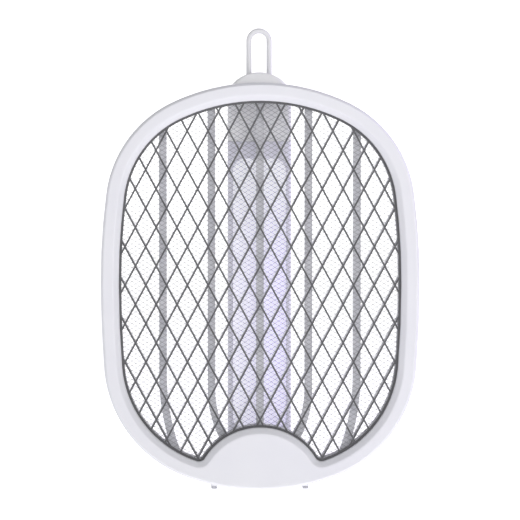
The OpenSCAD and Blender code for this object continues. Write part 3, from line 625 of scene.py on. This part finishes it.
CHAMFER_IN, CHAMFER_DEPTH = 1.4, 1.5
LIP_IN, LIP_SLOPE = 3.5, 2.8
LIP_BACK_IN, LIP_BACK_DEPTH = 3.4, 3.6  # where the inside of that slope ends, and how deep it starts
OUTER_EASE, LIP_EASE = 0.4, 0.7
FACE_MARGIN, INNER_MARGIN = 0.2, 1.0
LIP_DEPTH = 5.0
FRONT_LIP_OUT = 0.4  # how far the front lip stands back from the opening
WALL, FACE_WALL = 2.0, 2.5
SEAM_IN, SEAM_RUN = 0.15, 0.3
EAR_IN, EAR_OUT, EAR_R = 21.2, 29.2, 8.3
FOOT_IN = 25.6
FOOT_Y0, FOOT_Y1 = PART + 0.6, HINGE_Y + 13.0
SOLE = 1.4
GROOVE_R, GROOVE_STEPS = 8.5, 14
SCREW_HOLE_R, SCREW_RECESS = 2.1, 1.9


def ring_of(bm, x, z, r, y, steps=32):
    """A closed loop of edges for a round hole in the face."""
    verts = bmesh.ops.create_circle(bm, segments=steps, radius=r)["verts"]
    bmesh.ops.rotate(bm, verts=verts, cent=(0, 0, 0), matrix=Matrix.Rotation(math.pi / 2, 3, "X"))
    bmesh.ops.translate(bm, verts=verts, vec=(x, y, z))
    return list({e for v in verts for e in v.link_edges})


def rims_at(bm, y):
    """The open edges that lie at one depth."""
    return [e for e in bm.edges if e.is_boundary and all(abs(v.co.y - y) < 1e-4 for v in e.verts)]


def hinge_groove(skin):
    """The hollow that the barrel turns in. Returns the edges that it shares with the face."""
    reach = math.degrees(math.acos((BACK - HINGE_Y) / -GROOVE_R))
    hollow = round_points((FRONT + BACK - HINGE_Y, HINGE_Z), GROOVE_R, -reach, reach, GROOVE_STEPS)
    rim = (0, GROOVE_STEPS)
    ends = [[skin.verts.new((x, FRONT if k in rim else y, z)) for k, (y, z) in enumerate(hollow)]
            for x in (-EAR_IN, EAR_IN)]
    for near, far in zip(zip(ends[0], ends[0][1:]), zip(ends[1], ends[1][1:])):
        skin.faces.new((near[0], near[1], far[1], far[0]))
    for end in ends:
        skin.faces.new(end)
    own = {*ends[0], *ends[1]}
    return [e for e in rims_at(skin, FRONT) if all(v in own for v in e.verts)]


def half_shell(lip_out=0.0, screws=(), groove=False):
    """Half a head as a closed shell, drawn facing the front: rim wall, face and lip, outside and inside."""
    skin = bmesh.new()
    top, edge = HEAD_TOP, HEAD_TOP - RIM_W + lip_out
    inside = FRONT + FACE_WALL
    rim = [(inside, top - WALL - INNER_MARGIN), (inside, top - WALL), (PART - SEAM, top - WALL)]
    rim += [(PART - SEAM, top - SEAM_IN), (PART - SEAM - SEAM_RUN, top)]
    rim += eased((FRONT + CHAMFER_DEPTH, top), (FRONT, top - CHAMFER_IN), OUTER_EASE)
    rim += [(FRONT, top - CHAMFER_IN - OUTER_EASE - FACE_MARGIN)]
    sweep(skin, rim, rim_path)
    lip = [(FRONT, edge + LIP_IN + LIP_EASE + FACE_MARGIN)]
    lip += eased((FRONT + LIP_SLOPE, edge), (FRONT, edge + LIP_IN), LIP_EASE)[::-1]
    lip += [(FRONT + LIP_DEPTH, edge), (FRONT + LIP_DEPTH, edge + WALL)]
    lip += [(FRONT + LIP_BACK_DEPTH, edge + WALL), (inside, edge + LIP_BACK_IN)]
    lip += [(inside, edge + LIP_BACK_IN + INNER_MARGIN)]
    sweep(skin, lip, opening_path)
    mirrored_over(skin)
    outer_rims, inner_rims = rims_at(skin, FRONT), rims_at(skin, inside)
    rings = [ring_of(skin, x, z, SCREW_HOLE_R, FRONT) for x, z in screws]
    hollow = hinge_groove(skin) if groove else []
    face_edges = outer_rims + [e for ring in rings for e in ring] + hollow
    bmesh.ops.triangle_fill(skin, use_beauty=True, use_dissolve=False, edges=face_edges)
    bmesh.ops.triangle_fill(skin, use_beauty=True, use_dissolve=False, edges=inner_rims)
    for ring in rings:
        bmesh.ops.contextual_create(skin, geom=drawn_in(skin, ring, (0.0, SCREW_RECESS, 0.0)))
    bmesh.ops.remove_doubles(skin, verts=skin.verts, dist=1e-3)
    bmesh.ops.recalc_face_normals(skin, faces=skin.faces)
    loose = open_edges(skin)
    if loose or skin.calc_volume() < 1.0:
        raise RuntimeError("a head shell is not closed: %d open edges" % loose)
    return skin


def profile_plate(points, x0, x1, edge):
    """A plate cut to an outline in depth and height, with its edges rounded."""
    bm = bmesh.new()
    face = bm.faces.new([bm.verts.new((x0, y, z)) for y, z in points])
    thickened(bm, face, (x1 - x0, 0, 0))
    bmesh.ops.recalc_face_normals(bm, faces=bm.faces)
    return rounded(bm, edge, 3, 50.0)


def hinge_ear():
    """The right ear with its pin bore and cap recess, and the shoe under it that stands on the pad."""
    ear = profile_plate([
        (HINGE_Y - 3.0, HINGE_Z - 7.6), *round_points((HINGE_Y, HINGE_Z), EAR_R, -70, 100, 20),
        (BACK - 1.0, HINGE_Z + 14.0), (BACK - 1.0, HINGE_Z - 5.5)], EAR_IN, EAR_OUT, 0.7)
    shoe = profile_plate([
        (FOOT_Y0, SOLE), (FOOT_Y1, SOLE), (FOOT_Y1, SOLE + 2.0), (HINGE_Y + 8.0, 7.0),
        (HINGE_Y + 3.0, HINGE_Z), (BACK - 1.5, HINGE_Z), (BACK - 3.0, 7.0), (FOOT_Y0, 5.5)],
        FOOT_IN, EAR_OUT, 0.5)
    recess = rod("X", 6.0, EAR_OUT - 1.0, EAR_OUT + 1.0, (HINGE_Y, HINGE_Z))
    bore = rod("X", PIN_R, EAR_IN - 1.0, EAR_OUT + 1.0, (HINGE_Y, HINGE_Z))
    return join(carve(ear, recess, bore), shoe)


def rear_moulding():
    skin = half_shell(0.0, [(middle.x, middle.z) for middle, low, high in node_parts("head_screws")], True)
    bmesh.ops.translate(skin, verts=skin.verts, vec=(0, -PART, 0))
    flipped(skin, 1)
    bmesh.ops.translate(skin, verts=skin.verts, vec=(0, PART, 0))
    return join(skin, hinge_ear(), flipped(hinge_ear()))


piece("head_front_moulding", half_shell(FRONT_LIP_OUT), "head", WHITE_SHELL,
      ("head_front_shell",), 40.0)
piece("head_rear_moulding", rear_moulding(), "head", WHITE_SHELL, ("head_rear_shell",), 40.0)
screw_set("head_back_screws", "head_screws", "head")

# ---- fine high-voltage grid ----
GRID_Y = edges_of("high_voltage_grid")[0][1]
GRID_T = 0.3
CELL_W, CELL_H = 4.5, 2.8
STRAND_W, STRAND_T = 0.22, 0.22
CROSSING_LIFT = 0.03
LINES = 75  # on each side of the middle, more than the opening needs
STRIP_IN, STRAND_END, STRIP_OUT = 1.6, 2.6, 3.6  # the strip's edges and the strands' ends, past the opening


def opening_points(grow):
    """The edge of the opening as points, moved outwards by grow."""
    trail = [Vector((0.0, 0.0, HEAD_TOP - RIM_W + grow))]
    for step in opening_path:
        if isinstance(step, tuple):
            (x, z), angle, _ = step
            centre = Vector((x, 0.0, z))
            count = max(2, math.ceil(abs(angle) / 5.0))
            turn = Matrix.Rotation(math.radians(angle / count), 3, "Y")
            for _ in range(count):
                trail.append(centre + turn @ (trail[-1] - centre))
        else:
            trail.append(trail[-1] + Vector((0.0, 0.0, step)))
    right = [(p.x, p.z) for p in trail]
    return right + [(-x, z) for x, z in reversed(right[1:-1])]


def crossings(points, origin, way):
    """Where a line crosses an outline, as sorted distances along the line."""
    ox, oz = origin
    dx, dz = way
    hits = []
    for (ax, az), (bx, bz) in zip(points, points[1:] + points[:1]):
        sa = (ax - ox) * dz - (az - oz) * dx
        sb = (bx - ox) * dz - (bz - oz) * dx
        if (sa < 0) != (sb < 0):
            t = sa / (sa - sb)
            px, pz = ax + (bx - ax) * t, az + (bz - az) * t
            hits.append((px - ox) * dx + (pz - oz) * dz)
    return sorted(hits)


def strand(origin, way, a, b, lift):
    """One straight strand along a line, between two distances on it."""
    bm = bmesh.new()
    bmesh.ops.create_cube(bm, size=1.0)
    bmesh.ops.scale(bm, verts=bm.verts, vec=(b - a, STRAND_T, STRAND_W))
    turn = Matrix.Rotation(-math.atan2(way[1], way[0]), 3, "Y")
    bmesh.ops.rotate(bm, verts=bm.verts, cent=(0, 0, 0), matrix=turn)
    half = (a + b) / 2
    bmesh.ops.translate(bm, verts=bm.verts, vec=(
        origin[0] + way[0] * half, GRID_Y + GRID_T / 2 + lift, origin[1] + way[1] * half))
    return bm


def fine_grid():
    """Two families of straight strands, a hair apart in depth where they cross, and a rim strip."""
    edge = opening_points(STRAND_END)
    strands = []
    lean = math.atan2(CELL_H, CELL_W)
    pitch = CELL_W * CELL_H / math.hypot(CELL_W, CELL_H)
    middle = (HEAD_TOP + HEAD_BOTTOM) / 2
    for side in (1, -1):
        way = (math.cos(lean) * side, math.sin(lean))
        across = (-way[1], way[0])
        for k in range(-LINES, LINES + 1):
            origin = (across[0] * k * pitch, middle + across[1] * k * pitch)
            hits = crossings(edge, origin, way)
            strands += [strand(origin, way, a, b, CROSSING_LIFT * side)
                        for a, b in zip(hits[0::2], hits[1::2]) if b - a >= 1.0]
    inner, outer = HEAD_TOP - RIM_W + STRIP_IN, HEAD_TOP - RIM_W + STRIP_OUT
    strip = bmesh.new()
    section = [(GRID_Y, inner), (GRID_Y, outer), (GRID_Y + GRID_T, outer), (GRID_Y + GRID_T, inner)]
    sweep(strip, section, opening_path, True)
    mirrored_over(strip)
    bmesh.ops.recalc_face_normals(strip, faces=strip.faces)
    return join(strip, *strands)


placed("woven_grid", fine_grid(), "head", GRID_METAL, ("high_voltage_grid",))

# ---- hinge ----
for side, name in ((1, "right"), (-1, "left")):
    cover = rounded(rod("X", 5.85, EAR_OUT - 1.0, EAR_OUT - 0.05, (HINGE_Y, HINGE_Z)), 0.3)
    piece("pin_cover_" + name, cover if side > 0 else flipped(cover), "head", CAP_PLASTIC,
          ("hinge_cap_" + name,), 30.0)
    pad = rounded(box(FOOT_IN, EAR_OUT, FOOT_Y0, FOOT_Y1, 0.0, SOLE), 0.45)
    piece("foot_pad_" + name, pad if side > 0 else flipped(pad), "head", FOOT_RUBBER,
          ("foot_" + name,), 30.0)

BARREL_R, BARREL_HALF = 8.0, 20.8
BARREL_BORE = 3.3
SLEEVE_R, SLEEVE_IN = 5.0, 7.0
LEAD_HALF, LEAD_DEPTH = 3.5, 1.8
NECK_HALF, NECK_TOP = 13.0, 38.0
NECK_Y0, NECK_Y1 = GRIP_FRONT + 2.1, GRIP_FRONT + 10.4


def knuckle():
    """The barrel on the pin with the flat tongue that goes up into the handle."""
    def on_pin(r, low, high, segments):
        return rod("X", r, low, high, (HINGE_Y, HINGE_Z), segments)

    def lead_slot():
        return box(-LEAD_HALF, LEAD_HALF, HINGE_Y - LEAD_DEPTH, HINGE_Y + LEAD_DEPTH, HINGE_Z, 40.0)

    barrel = rounded(on_pin(BARREL_R, -BARREL_HALF, BARREL_HALF, 72), 0.5)
    barrel = carve(barrel, on_pin(BARREL_BORE, -22.0, 22.0, 40), on_pin(SLEEVE_R, SLEEVE_IN, 22.0, 40),
                   on_pin(SLEEVE_R, -22.0, -SLEEVE_IN, 40), lead_slot())
    tongue = rounded(box(-NECK_HALF, NECK_HALF, NECK_Y0, NECK_Y1, HINGE_Z + 5.0, NECK_TOP), 1.0)
    tongue = carve(tongue, lead_slot(), on_pin(BARREL_R - 0.6, -20.0, 20.0, 60))
    return join(barrel, tongue)


piece("hinge_barrel_and_tongue", knuckle(), "handle", GRIP_PLASTIC, ("hinge_knuckle",), 30.0)

# ---- handle ----
FRONT_R, BACK_R = 3.0, 10.0
GRIP_WALL = 2.0
BAY = 46.0  # the straight sides are drawn in bays of this height
RAKE = [(GRIP_FRONT + 13.4, GRIP_BOTTOM), (GRIP_BACK - 3.0, 32.0), (GRIP_BACK, 38.0)]
LENS_HALF, LENS_Z0, LENS_Z1, LENS_R = 16.0, 34.0, 198.0, 8.0
LENS_DEPTH, LENS_GAP = 2.0, 0.12
NECK_GAP = 0.2
SOCKET_Y, SOCKET_Z, SOCKET_HALF, SOCKET_R = GRIP_FRONT + 9.9, 106.0, 2.85, 1.8
BUTTON_Z, LIGHT_Z, KNOB_Z = 64.0, 79.0, 94.0


def section_loop(bm, half, y0, y1, z, r_front, r_back):
    """A rounded rectangle across the handle, front corners tighter than back ones."""
    corners = [((-half + r_front, y0 + r_front), r_front, 180),
               ((half - r_front, y0 + r_front), r_front, 270),
               ((half - r_back, y1 - r_back), r_back, 0),
               ((-half + r_back, y1 - r_back), r_back, 90)]
    verts = [bm.verts.new((x, y, z)) for x, y in rounded_corners(corners, 8)]
    return [bm.edges.new(pair) for pair in zip(verts, verts[1:] + verts[:1])]


def raise_loop(bm, loop, up, wide=1.0, deep=1.0):
    """Extrudes a loop upwards and narrows it about the middle of the handle."""
    grown = bmesh.ops.extrude_edge_only(bm, edges=loop)["geom"]
    verts = verts_of(grown)
    bmesh.ops.translate(bm, verts=verts, vec=(0, 0, up))
    bmesh.ops.scale(bm, verts=verts, vec=(wide, deep, 1.0), space=Matrix.Translation((0, -GRIP_MID, 0)))
    top = max(v.co.z for v in verts)
    return [e for e in edges_in(grown) if all(abs(v.co.z - top) < 1e-5 for v in e.verts)]


def lens_block(grow, y0, y1):
    """The rounded slab that the lens, or the window for it, is made from."""
    bm = bmesh.new()
    half, r = LENS_HALF + grow, LENS_R + grow
    z0, z1 = LENS_Z0 - grow, LENS_Z1 + grow
    corners = [((-half + r, z0 + r), r, 180), ((half - r, z0 + r), r, 270),
               ((half - r, z1 - r), r, 0), ((-half + r, z1 - r), r, 90)]
    face = bm.faces.new([bm.verts.new((x, y0, z)) for x, z in rounded_corners(corners, 12)])
    thickened(bm, face, (0, y1 - y0, 0))
    bmesh.ops.recalc_face_normals(bm, faces=bm.faces)
    return bm


def grip_stock(inset=0.0, over=0.0):
    """The whole handle below the cap: straight, with a raked lower end. The inset gives its core."""
    bm = bmesh.new()
    loop = section_loop(bm, GRIP_HALF - inset, GRIP_FRONT + inset, GRIP_BACK - inset, GRIP_BOTTOM + inset,
                        FRONT_R - inset, BACK_R - inset)
    bm.faces.new(bm.verts[:])
    for up in (BAY, BAY, BAY, CAP_Z - GRIP_BOTTOM - inset - 3 * BAY - SEAM + over):
        loop = raise_loop(bm, loop, up)
    bmesh.ops.contextual_create(bm, geom=loop)
    bmesh.ops.recalc_face_normals(bm, faces=bm.faces)
    for (ya, za), (yb, zb) in zip(RAKE, RAKE[1:]):
        normal = Vector((0.0, zb - za, ya - yb)).normalized()
        spot = Vector((0, ya, za)) - normal * inset
        bmesh.ops.bisect_plane(bm, geom=bm.verts[:] + bm.edges[:] + bm.faces[:], plane_co=spot,
                               plane_no=normal, clear_outer=True)
        bmesh.ops.contextual_create(bm, geom=[e for e in bm.edges if e.is_boundary])
    bmesh.ops.recalc_face_normals(bm, faces=bm.faces)
    if not inset:
        rounded(bm, 1.2, 4, 25.0, lambda e: all(v.co.z < GRIP_BOTTOM + BAY - 10.0 for v in e.verts))
    return bm


def other_half(front):
    """The space on the far side of the joint between the two handle shells."""
    y = GRIP_MID + (-SEAM if front else SEAM)
    low, high = (y, GRIP_BACK + 20.0) if front else (GRIP_FRONT - 20.0, y)
    return box(-30.0, 30.0, low, high, 0.0, CAP_Z + 20.0)


def handle_half(front, *cutters):
    """One handle shell: the stock less its core, less the other half and whatever opens through it."""
    return carve(grip_stock(), grip_stock(GRIP_WALL, 8.0), other_half(front), *cutters)


def socket_cutter():
    """The slot in the handle's side that the charging plug goes into."""
    bm = bmesh.new()
    ends = [round_points((SOCKET_Y, SOCKET_Z + side * SOCKET_HALF), SOCKET_R, start, start + 180.0, 12)
            for side, start in ((-1, 180.0), (1, 0.0))]
    face = bm.faces.new([bm.verts.new((14.0, y, z)) for end in ends for y, z in end])
    return thickened(bm, face, (8, 0, 0))


def front_openings():
    yield lens_block(LENS_GAP, GRIP_FRONT - 2.0, GRIP_FRONT + LENS_DEPTH + 0.4)
    yield socket_cutter()
    yield box(-NECK_HALF - NECK_GAP, NECK_HALF + NECK_GAP, NECK_Y0 - NECK_GAP, NECK_Y1 + NECK_GAP, 20.0, 29.0)
    for middle, low, high in node_parts("knuckle_screws"):
        yield rod("Y", SCREW_HOLE_R, GRIP_FRONT - 1.0, GRIP_FRONT + 3.0, (middle.x, middle.z), 32)


def back_openings():
    def through(r, x, z, depth, segments=32):
        return rod("Y", r, GRIP_BACK - depth, GRIP_BACK + 1, (x, z), segments)

    yield through(6.8, 0.0, BUTTON_Z, 4, 64)
    yield through(1.5, 0.0, LIGHT_Z, 4)
    yield rounded(box(-4.4, 4.4, GRIP_BACK - 1.0, GRIP_BACK + 3, KNOB_Z - 9.4, KNOB_Z + 9.4), 1.2, 3, 35.0,
                  lambda e: abs(e.verts[0].co.y - e.verts[1].co.y) > 1)
    yield box(-1.7, 1.7, GRIP_BACK - 4, GRIP_BACK + 1, KNOB_Z - 5.4, KNOB_Z + 5.4)
    for middle, low, high in node_parts("handle_screws"):
        yield through(2.2, middle.x, middle.z, 4.6)


def lamp_window():
    lens = lens_block(0.0, GRIP_FRONT, GRIP_FRONT + LENS_DEPTH)
    return rounded(lens, 0.5, 3, 50.0, lambda e: all(abs(v.co.y - GRIP_FRONT) < 1e-4 for v in e.verts))


piece("handle_front_moulding", handle_half(True, *front_openings()), "handle", GRIP_PLASTIC,
      ("handle_front_shell",), 30.0, 0.25)
piece("handle_back_moulding", handle_half(False, *back_openings()), "handle", GRIP_PLASTIC,
      ("handle_back_shell",), 30.0, 0.25)
screw_set("handle_back_screws", "handle_screws", "handle")
screw_set("knuckle_front_screws", "knuckle_screws", "handle", -1)
piece("lamp_window", lamp_window(), "handle", LENS, ("lamp_lens",), 30.0)

# ---- end cap and loop ----
DOME = 15.5
DOME_STEPS, DOME_SWEEP = 16, math.radians(86.0)
DEPTH_POWER = 0.15  # how late the dome narrows from front to back
CAP_WALL = 1.0
LOOP_X, LOOP_ROD = 6.1, 1.6
BAR_H = 3.0


def cap_stock():
    """The domed top of the handle, open below."""
    bm = bmesh.new()
    loop = section_loop(bm, GRIP_HALF, GRIP_FRONT, GRIP_BACK, CAP_Z + SEAM, FRONT_R, BACK_R)
    loop = raise_loop(bm, loop, GRIP_TOP - DOME - CAP_Z - SEAM)
    wide_before, deep_before, height = 1.0, 1.0, 0.0
    for k in range(1, DOME_STEPS + 1):
        t = DOME_SWEEP * k / DOME_STEPS
        wide, deep = math.cos(t), math.cos(t) ** DEPTH_POWER
        up = DOME * math.sin(t) / math.sin(DOME_SWEEP)
        loop = raise_loop(bm, loop, up - height, wide / wide_before, deep / deep_before)
        wide_before, deep_before, height = wide, deep, up
    bmesh.ops.contextual_create(bm, geom=loop)
    return bm


def outwards(bm, way):
    """Turns an open shell the right way round: its faces add up to an area that points off the opening."""
    bm.normal_update()
    total = sum((f.normal * f.calc_area() for f in bm.faces), Vector())
    if total.dot(Vector(way)) < 0:
        bmesh.ops.reverse_faces(bm, faces=bm.faces)
    return bm


def domed_cap():
    """The cap's skin given a wall inwards, with a hole for each leg of the loop."""
    cap = outwards(cap_stock(), (0.0, 0.0, 1.0))
    bmesh.ops.solidify(cap, geom=cap.faces[:], thickness=CAP_WALL)
    leg_holes = [rod("Z", LOOP_ROD + 0.3, 230.0, 260.0, (x, GRIP_MID), 32) for x in (-LOOP_X, LOOP_X)]
    return carve(cap, *leg_holes)


def hanging_bow():
    """A round rod bent into a U, with a crossbar inside the cap."""
    low, high = (corner[2] for corner in edges_of("hanging_loop"))
    foot, bend = low + 1.0, high - LOOP_X - LOOP_ROD
    bm = bmesh.new()
    ring = bmesh.ops.create_circle(bm, segments=24, radius=LOOP_ROD)["verts"]
    bmesh.ops.translate(bm, verts=ring, vec=(-LOOP_X, GRIP_MID, foot))
    loop = drawn_in(bm, list({e for v in ring for e in v.link_edges}), (0, 0, bend - foot))
    spun = bmesh.ops.spin(bm, geom=loop, cent=(0, GRIP_MID, bend), axis=(0, 1, 0), dvec=(0, 0, 0),
                          angle=math.pi, steps=28, use_merge=False, use_duplicate=False)
    drawn_in(bm, edges_in(spun["geom_last"]), (0, 0, foot - bend))
    bmesh.ops.holes_fill(bm, edges=[e for e in bm.edges if e.is_boundary], sides=0)
    reach = LOOP_X + LOOP_ROD
    bar = box(-reach, reach, GRIP_MID - LOOP_ROD, GRIP_MID + LOOP_ROD, low, low + BAR_H)
    return join(bm, rounded(bar, 0.4, 2))


piece("domed_end_cap", domed_cap(), "handle", CAP_PLASTIC, ("end_cap",), 30.0, 0.25)
piece("hanging_bow", hanging_bow(), "hanger", LOOP_PLASTIC, ("hanging_loop",), 40.0)

# ---- controls ----
PROUD = 0.8
BUTTON_R, BUTTON_FLANGE_R, BUTTON_DEPTH = 6.5, 7.4, 3.6
DISH_R, DISH_DEPTH = 26.0, 0.55
KNOB_HALF_W, KNOB_HALF_H = 4.0, 6.0
RIDGE_PITCH = 1.8


def push_button():
    """A dished round button with a flange inside."""
    inner = GRIP_BACK - BUTTON_DEPTH
    bm = rod("Y", BUTTON_R, inner, GRIP_BACK + PROUD, (0.0, BUTTON_Z), 64)
    rounded(bm, 0.7, 4, 35.0, lambda e: all(v.co.y > GRIP_BACK for v in e.verts))
    dish = bmesh.new()
    bmesh.ops.create_uvsphere(dish, u_segments=64, v_segments=48, radius=DISH_R)
    bmesh.ops.translate(dish, verts=dish.verts, vec=(0.0, GRIP_BACK + PROUD + DISH_R - DISH_DEPTH, BUTTON_Z))
    flange = rounded(rod("Y", BUTTON_FLANGE_R, inner, inner + 1.1, (0.0, BUTTON_Z), 64), 0.2, 2)
    return join(carve(bm, dish), flange)


def slide_knob():
    """A low slider with five ridges, and the stem that goes down to its lever."""
    z = KNOB_Z - 3.0
    base = rounded(box(-KNOB_HALF_W, KNOB_HALF_W, GRIP_BACK - 0.9, GRIP_BACK - 0.05,
                       z - KNOB_HALF_H, z + KNOB_HALF_H), 0.35, 2)
    stem = box(-1.4, 1.4, GRIP_BACK - 3.2, GRIP_BACK - 0.8, z - 1.6, z + 1.6)
    ridges = []
    for k in range(-2, 3):
        at = z + RIDGE_PITCH * k
        ridges.append(rounded(box(-3.0, 3.0, GRIP_BACK - 0.4, GRIP_BACK + PROUD, at - 0.5, at + 0.5), 0.3, 2))
    return join(base, stem, *ridges)


piece("round_push_button", push_button(), "button", CONTROL_PLASTIC, ("zap_button",), 30.0)
piece("ridged_slide_knob", slide_knob(), "switch", CONTROL_PLASTIC, ("mode_knob",), 30.0)

# ---- floor and light, in metres ----
FLOOR_REACH = 4.0
BACKDROP_Y = 5.0


def floor_finish():
    finish = Finish("pale_floor", (0.93, 0.93, 0.94), 0.8, Emission_Strength=0.78)
    finish.shader.inputs["Emission Color"].default_value = (1.0, 1.0, 1.0, 1.0)
    finish.feed("Roughness", finish.spread(finish.noise(4.0), 0.3, 0.7, 0.76, 0.84))
    return finish.material


def sweep_floor():
    """A pale floor that curves up into a backdrop well behind."""
    bm = bmesh.new()
    line = [bm.verts.new((-FLOOR_REACH, y, 0.0)) for y in (-FLOOR_REACH, BACKDROP_Y)]
    bm.edges.new(line)
    bmesh.ops.spin(bm, geom=[line[1]], cent=(-FLOOR_REACH, BACKDROP_Y, 1.0), axis=(1, 0, 0), dvec=(0, 0, 0),
                   angle=math.pi / 2, steps=16, use_merge=False, use_duplicate=False)
    last = max(bm.verts, key=lambda v: v.co.z)
    bm.edges.new((last, bm.verts.new((-FLOOR_REACH, last.co.y, FLOOR_REACH))))
    grown = bmesh.ops.extrude_edge_only(bm, edges=bm.edges[:])["geom"]
    bmesh.ops.translate(bm, verts=verts_of(grown), vec=(2 * FLOOR_REACH, 0, 0))
    bmesh.ops.recalc_face_normals(bm, faces=bm.faces)
    return bm


floor_mesh = sweep_floor()
floor_data = bpy.data.meshes.new("floor")
floor_mesh.to_mesh(floor_data)
floor_mesh.free()
floor_data.shade_smooth()
floor = bpy.data.objects.new("floor", floor_data)
bpy.context.collection.objects.link(floor)
floor_data.materials.append(floor_finish())


def softbox(name, position, target, size, power, colour):
    light = bpy.data.lights.new(name, "AREA")
    light.shape = "RECTANGLE"
    light.size, light.size_y = size
    light.energy = power
    light.color = colour
    lamp = bpy.data.objects.new(name, light)
    bpy.context.collection.objects.link(lamp)
    lamp.location = position
    lamp.rotation_euler = (Vector(target) - Vector(position)).to_track_quat("-Z", "Y").to_euler()
    return lamp


centre = (0.0, 0.0, 0.13)
softbox("key", (1.1, -1.4, 0.12), centre, (1.0, 0.8), 7.8, (1.0, 0.995, 0.985))
softbox("fill", (-1.2, -1.3, 0.15), centre, (1.4, 1.0), 2.1, (0.97, 0.98, 1.0))
softbox("front_top", (0.3, -1.7, 0.75), (0.0, 0.0, 0.24), (0.8, 0.5), 7.1, (1.0, 1.0, 1.0))
softbox("lavender_side", (0.9, 0.25, 0.75), centre, (0.5, 0.9), 4.5, (0.70, 0.60, 1.0))
softbox("back_fill", (-0.6, 1.2, 0.32), centre, (1.2, 1.0), 0.4, (0.98, 0.99, 1.0))

world = bpy.data.worlds.new("pale_room")
world.use_nodes = True
world.node_tree.nodes["Background"].inputs["Color"].default_value = (0.96, 0.96, 0.98, 1.0)
world.node_tree.nodes["Background"].inputs["Strength"].default_value = 0.34
bpy.context.scene.world = world
bpy.context.scene.view_settings.view_transform = "Standard"
